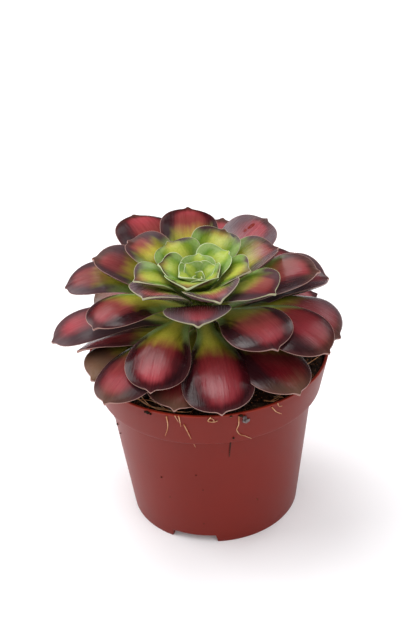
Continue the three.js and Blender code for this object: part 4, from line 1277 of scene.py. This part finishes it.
def rim_fibre_mesh(pot):
    """The root fibres over the rim and those listed on the compost."""
    paths = [outside_path(radius, spots, pot) for radius, spots in RIM_FIBRES]
    paths += [soft_path(spots) for _, spots in LOOSE_FIBRES]
    radii = [radius for radius, _ in RIM_FIBRES + LOOSE_FIBRES]
    return new_mesh("rim_fibres", *tube_arrays(paths, radii, 6))


def scattered_spots(count, pot, soil, seed, inner=0.1, outer=0.97):
    """Places on the compost, even over its area."""
    random = np.random.default_rng(seed)
    wall = soil_inner_radius(pot.height - soil.below_rim, pot)
    radius = wall * np.sqrt(random.uniform(inner ** 2, outer ** 2, count))
    angle = random.uniform(0, 2 * math.pi, count)
    x, y = radius * np.cos(angle), radius * np.sin(angle)
    return x, y, soil_top(x, y, pot, soil), random


def crumb_mesh(pot, soil):
    """Loose crumbs, a little sunk into the compost."""
    x, y, z, random = scattered_spots(soil.crumbs, pot, soil, CRUMB_SEED)
    sizes = random.uniform(0.35, 1.25, soil.crumbs) * random.uniform(0.6, 1.2, soil.crumbs)
    centres = np.stack([x, y, np.minimum(z + 0.25 * sizes, pot.height - 2.0)], axis=-1)
    points, triangles = lump_arrays(centres, sizes, CRUMB_SEED + 1)
    return new_mesh("crumbs", points, NO_QUADS, triangles, smooth=False)


def fibre_mesh(pot, soil):
    """Short curved fibres lying on the compost."""
    x, y, _, random = scattered_spots(soil.fibres, pot, soil, FIBRE_SEED, 0.3, 0.93)
    paths = []
    for i in range(soil.fibres):
        heading = random.uniform(0, 2 * math.pi)
        turning = random.uniform(-0.5, 0.5)
        length = random.uniform(3.0, 11.0)
        t = np.linspace(0, 1, 9)
        way = heading + turning * 4 * t
        step_x, step_y = np.cos(way) * length / 8, np.sin(way) * length / 8
        path_x, path_y = x[i] + np.cumsum(step_x), y[i] + np.cumsum(step_y)
        reach = np.hypot(path_x, path_y)
        limit = 0.955 * soil_inner_radius(pot.height - soil.below_rim, pot)
        shrink = np.minimum(1.0, limit / reach)
        path_x, path_y = path_x * shrink, path_y * shrink
        height = soil_top(path_x, path_y, pot, soil) + 0.25 + 0.5 * np.sin(math.pi * t)
        paths.append(np.stack([path_x, path_y, np.minimum(height, pot.height - 1.0)], axis=-1))
    radii = random.uniform(0.1, 0.24, soil.fibres)
    return new_mesh("fibres", *tube_arrays(paths, radii))


def settings_of(context):
    """The settings of the pot, the soil and the leaves."""
    return context.scene.aeonium_pot, context.scene.aeonium_soil, context.scene.aeonium_leaves


class AEONIUM_OT_add_pot(bpy.types.Operator):
    """Add the nursery pot with its rim band, notched foot and drain holes."""

    bl_idname = "aeonium.add_pot"
    bl_label = "Add Pot"

    def execute(self, context):
        pot, _, _ = settings_of(context)
        piece = add_piece("nursery_pot", pot_mesh(pot), pot_material(pot), ["pot"])
        cut_drain_holes(piece, pot)
        return {"FINISHED"}


class AEONIUM_OT_add_soil(bpy.types.Operator):
    """Add the compost with its crumbs and fibres."""

    bl_idname = "aeonium.add_soil"
    bl_label = "Add Soil"

    def execute(self, context):
        pot, soil, _ = settings_of(context)
        compost = soil_material(soil)
        add_piece("compost", soil_mesh(pot, soil), compost, ["soil"])
        splinter = tube_arrays([outside_path(*SPLINTER, pot)], [SPLINTER[0]], 6)
        for name, mesh, material in (
            ("soil_crumbs", crumb_mesh(pot, soil), compost),
            ("soil_fibres", fibre_mesh(pot, soil), fibre_material(soil)),
            ("rim_fibres", rim_fibre_mesh(pot), rim_fibre_material()),
            ("rim_splinter", new_mesh("splinter", *splinter), compost),
            ("pot_grit", outside_lumps("grit", GRIT, pot, GRIT_SEED), compost),
            ("rim_pebble", outside_lumps("pebble", PEBBLE, pot, PEBBLE_SEED), pebble_material()),
        ):
            add_piece(name, mesh, material)
        return {"FINISHED"}


STEM_SIDES, STEM_ROWS = 48, 150


def bark_relief(level, turn):
    """Rings where old leaves fell, as a sine of the height that sways with the turn, with noise."""
    rings = 0.22 * np.sin(level * 2.6 + 1.5 * np.sin(turn * 2))
    return rings + 0.15 * value_noise(level, turn * STEM_SIDES / 6.283 / 4, 9) - GAP


class AEONIUM_OT_add_stem(bpy.types.Operator):
    """Add the short leaning stem with its leaf scars."""

    bl_idname = "aeonium.add_stem"
    bl_label = "Add Stem"

    def execute(self, context):
        _, _, leaves = settings_of(context)
        heights = np.linspace(STEM_FOOT, STEM_TOP, STEM_ROWS)
        points, quads, triangles = taper_arrays(heights, STEM_SIDES, bark_relief)
        mesh = new_mesh("stem", to_world(points, leaves.lean), quads, triangles)
        add_piece("leaning_stem", mesh, stem_material(), ["stem"])
        return {"FINISHED"}


class AEONIUM_OT_add_leaves(bpy.types.Operator):
    """Add the large leaves and the heart's small leaves."""

    bl_idname = "aeonium.add_leaves"
    bl_label = "Add Leaves"

    def execute(self, context):
        _, _, settings = settings_of(context)
        pigment = leaf_pigment_group(settings)
        scar = leaf_scar_group()
        materials = {}
        for node, place, *numbers in LARGE_LEAVES:
            slot = "middle_leaf" if place <= LAST_MIDDLE_PLACE else "outer_leaf"
            leaf = Leaf(place, *numbers)
            scars, scar_colour = LEAF_MARKS.get(node, ((), None))
            finish = (slot, leaf.gloss, scars)
            if finish not in materials:
                title, changes = LEAF_FINISHES[slot]
                name = "%s, gloss %d" % (title, round(10 * leaf.gloss))
                name += ", scarred" if scars else ""
                materials[finish] = leaf_material(
                    name, pigment, changes, leaf.gloss, scar, scars, scar_colour)
            mesh = leaf_mesh(node, [leaf], settings)
            add_piece("blade_" + node[-2:], mesh, materials[finish], [node])
        title, changes = LEAF_FINISHES["heart_leaf"]
        heart_leaf = leaf_material(title, pigment, changes, HEART_GLOSS)
        hearts = [Leaf(*numbers) for numbers in HEART_LEAVES]
        mesh = leaf_mesh("heart", hearts, settings, with_core=True)
        add_piece("heart_leaves", mesh, heart_leaf, ["heart"])
        return {"FINISHED"}


class AEONIUM_OT_add_stage(bpy.types.Operator):
    """Add the pale floor, the soft lights, the white surroundings and the camera."""

    bl_idname = "aeonium.add_stage"
    bl_label = "Add Stage"

    def execute(self, context):
        stage = context.scene.aeonium_stage
        add_floor(stage)
        add_lights(stage)
        add_world(stage)
        add_camera(stage)
        context.scene.view_settings.view_transform = "Standard"
        context.scene.view_settings.look = "None"
        return {"FINISHED"}


FLOOR_REACH = 3000.0
GLOW_COLOUR = (1.0, 0.99, 1.0, 1)


def add_floor(stage):
    """A wide pale floor that gives off a little light of its own."""
    corners = FLOOR_REACH * np.array([(-1, -1, 0), (1, -1, 0), (1, 1, 0), (-1, 1, 0)])
    mesh = new_mesh("floor", corners, [[0, 1, 2, 3]], np.zeros((0, 3)), smooth=False)
    material, sheet, shader = new_material("Pale floor")
    set_finish(sheet, shader, shade(stage.floor_colour), 0.9, 0.1)
    sheet.feed(shader, {"Emission Color": GLOW_COLOUR, "Emission Strength": stage.floor_glow})
    mesh.materials.append(material)
    floor = linked("floor", mesh)


# The lights: name, place and target in metres, size, and whether gloss mirrors them
PLANT = (0.0, 0.0, 0.08)
LIGHTS = (
    ("ceiling", (-0.3, 0.1, 1.3), (-0.3, 0.1, 0.0), (2.0, 2.0), False),
    ("side", (-0.95, 0.2, 0.6), PLANT, (1.0, 0.9), True),
    ("front", (0.5, -0.8, 1.0), PLANT, (0.9, 0.9), False),
    ("key", (-0.27, 0.58, 0.85), PLANT, (0.45, 0.3), True),
    ("top", (-0.17, 0.17, 1.12), PLANT, (0.5, 0.45), True),
    ("fill", (0.46, 0.43, 0.72), PLANT, (0.3, 0.3), True),
)


def add_lights(stage):
    """Rectangular softboxes, each turned towards its target."""
    for name, place, target, size, seen_in_gloss in LIGHTS:
        light = bpy.data.lights.new(name, "AREA")
        light.shape = "RECTANGLE"
        light.size, light.size_y = size
        light.energy = getattr(stage, name + "_power")
        lamp = linked(name, light)
        lamp.location = place
        lamp.rotation_euler = (Vector(target) - Vector(place)).to_track_quat("-Z", "Y").to_euler()
        lamp.visible_glossy = seen_in_gloss


def add_world(stage):
    """White surroundings, dimmer where they are mirrored."""
    world = bpy.data.worlds.new("Surround")
    world.use_nodes = True
    sheet = Sheet(world.node_tree)
    mirrored = sheet.add("ShaderNodeLightPath").outputs["Is Glossy Ray"]
    strength = sheet.line(mirrored, stage.gloss_surround - stage.surround, stage.surround)
    background = world.node_tree.nodes["Background"]
    sheet.feed(background, {"Color": (1.0, 1.0, 1.0, 1), "Strength": strength})
    bpy.context.scene.world = world


CAMERA_PLACE = (0.0, -0.44593, 0.35641)
CAMERA_RIGHT = (0.99871857, -0.02636845, -0.04319636)
CAMERA_UP = (0.05059912, 0.50382074, 0.86232499)
CAMERA_AHEAD = (0.00097496, 0.86340568, -0.50450934)
SENSOR_WIDTH = 36.0


def add_camera(stage):
    """The camera, from its place, its lens, and its right, up and forward directions."""
    camera = bpy.data.cameras.new("Camera")
    camera.lens = stage.focal_length
    camera.sensor_width = SENSOR_WIDTH
    viewer = linked("Camera", camera)
    turned = Matrix((CAMERA_RIGHT, CAMERA_UP, -Vector(CAMERA_AHEAD))).transposed().to_4x4()
    viewer.matrix_world = Matrix.Translation(CAMERA_PLACE) @ turned
    bpy.context.scene.camera = viewer


class AEONIUM_PT_panel(bpy.types.Panel):
    """Lists the plant's settings and its pieces."""

    bl_idname = "AEONIUM_PT_panel"
    bl_label = "Potted Aeonium"
    bl_space_type = "VIEW_3D"
    bl_region_type = "UI"
    bl_category = "Aeonium"

    def draw(self, context):
        for group in SETTINGS:
            settings = getattr(context.scene, group)
            box = self.layout.box()
            for label in settings.__annotations__:
                box.prop(settings, label)
        for operator in OPERATORS:
            self.layout.operator(operator.bl_idname)


SETTINGS = {
    "aeonium_pot": AeoniumPot,
    "aeonium_soil": AeoniumSoil,
    "aeonium_leaves": AeoniumLeaves,
    "aeonium_stage": AeoniumStage,
}
OPERATORS = (
    AEONIUM_OT_add_pot,
    AEONIUM_OT_add_soil,
    AEONIUM_OT_add_stem,
    AEONIUM_OT_add_leaves,
    AEONIUM_OT_add_stage,
)


def register():
    """Registers the settings, the operators and the panel."""
    for settings in SETTINGS.values():
        bpy.utils.register_class(settings)
    for operator in OPERATORS:
        bpy.utils.register_class(operator)
    bpy.utils.register_class(AEONIUM_PT_panel)
    for label, settings in SETTINGS.items():
        setattr(bpy.types.Scene, label, PointerProperty(type=settings))


def unregister():
    """Takes them away again."""
    for label in SETTINGS:
        delattr(bpy.types.Scene, label)
    bpy.utils.unregister_class(AEONIUM_PT_panel)
    for operator in reversed(OPERATORS):
        bpy.utils.unregister_class(operator)
    for settings in reversed(SETTINGS.values()):
        bpy.utils.unregister_class(settings)


def main():
    """Builds the plant and its stage."""
    register()
    bpy.ops.aeonium.add_pot()
    bpy.ops.aeonium.add_soil()
    bpy.ops.aeonium.add_stem()
    bpy.ops.aeonium.add_leaves()
    bpy.ops.aeonium.add_stage()


if __name__ == "__main__":
    main()
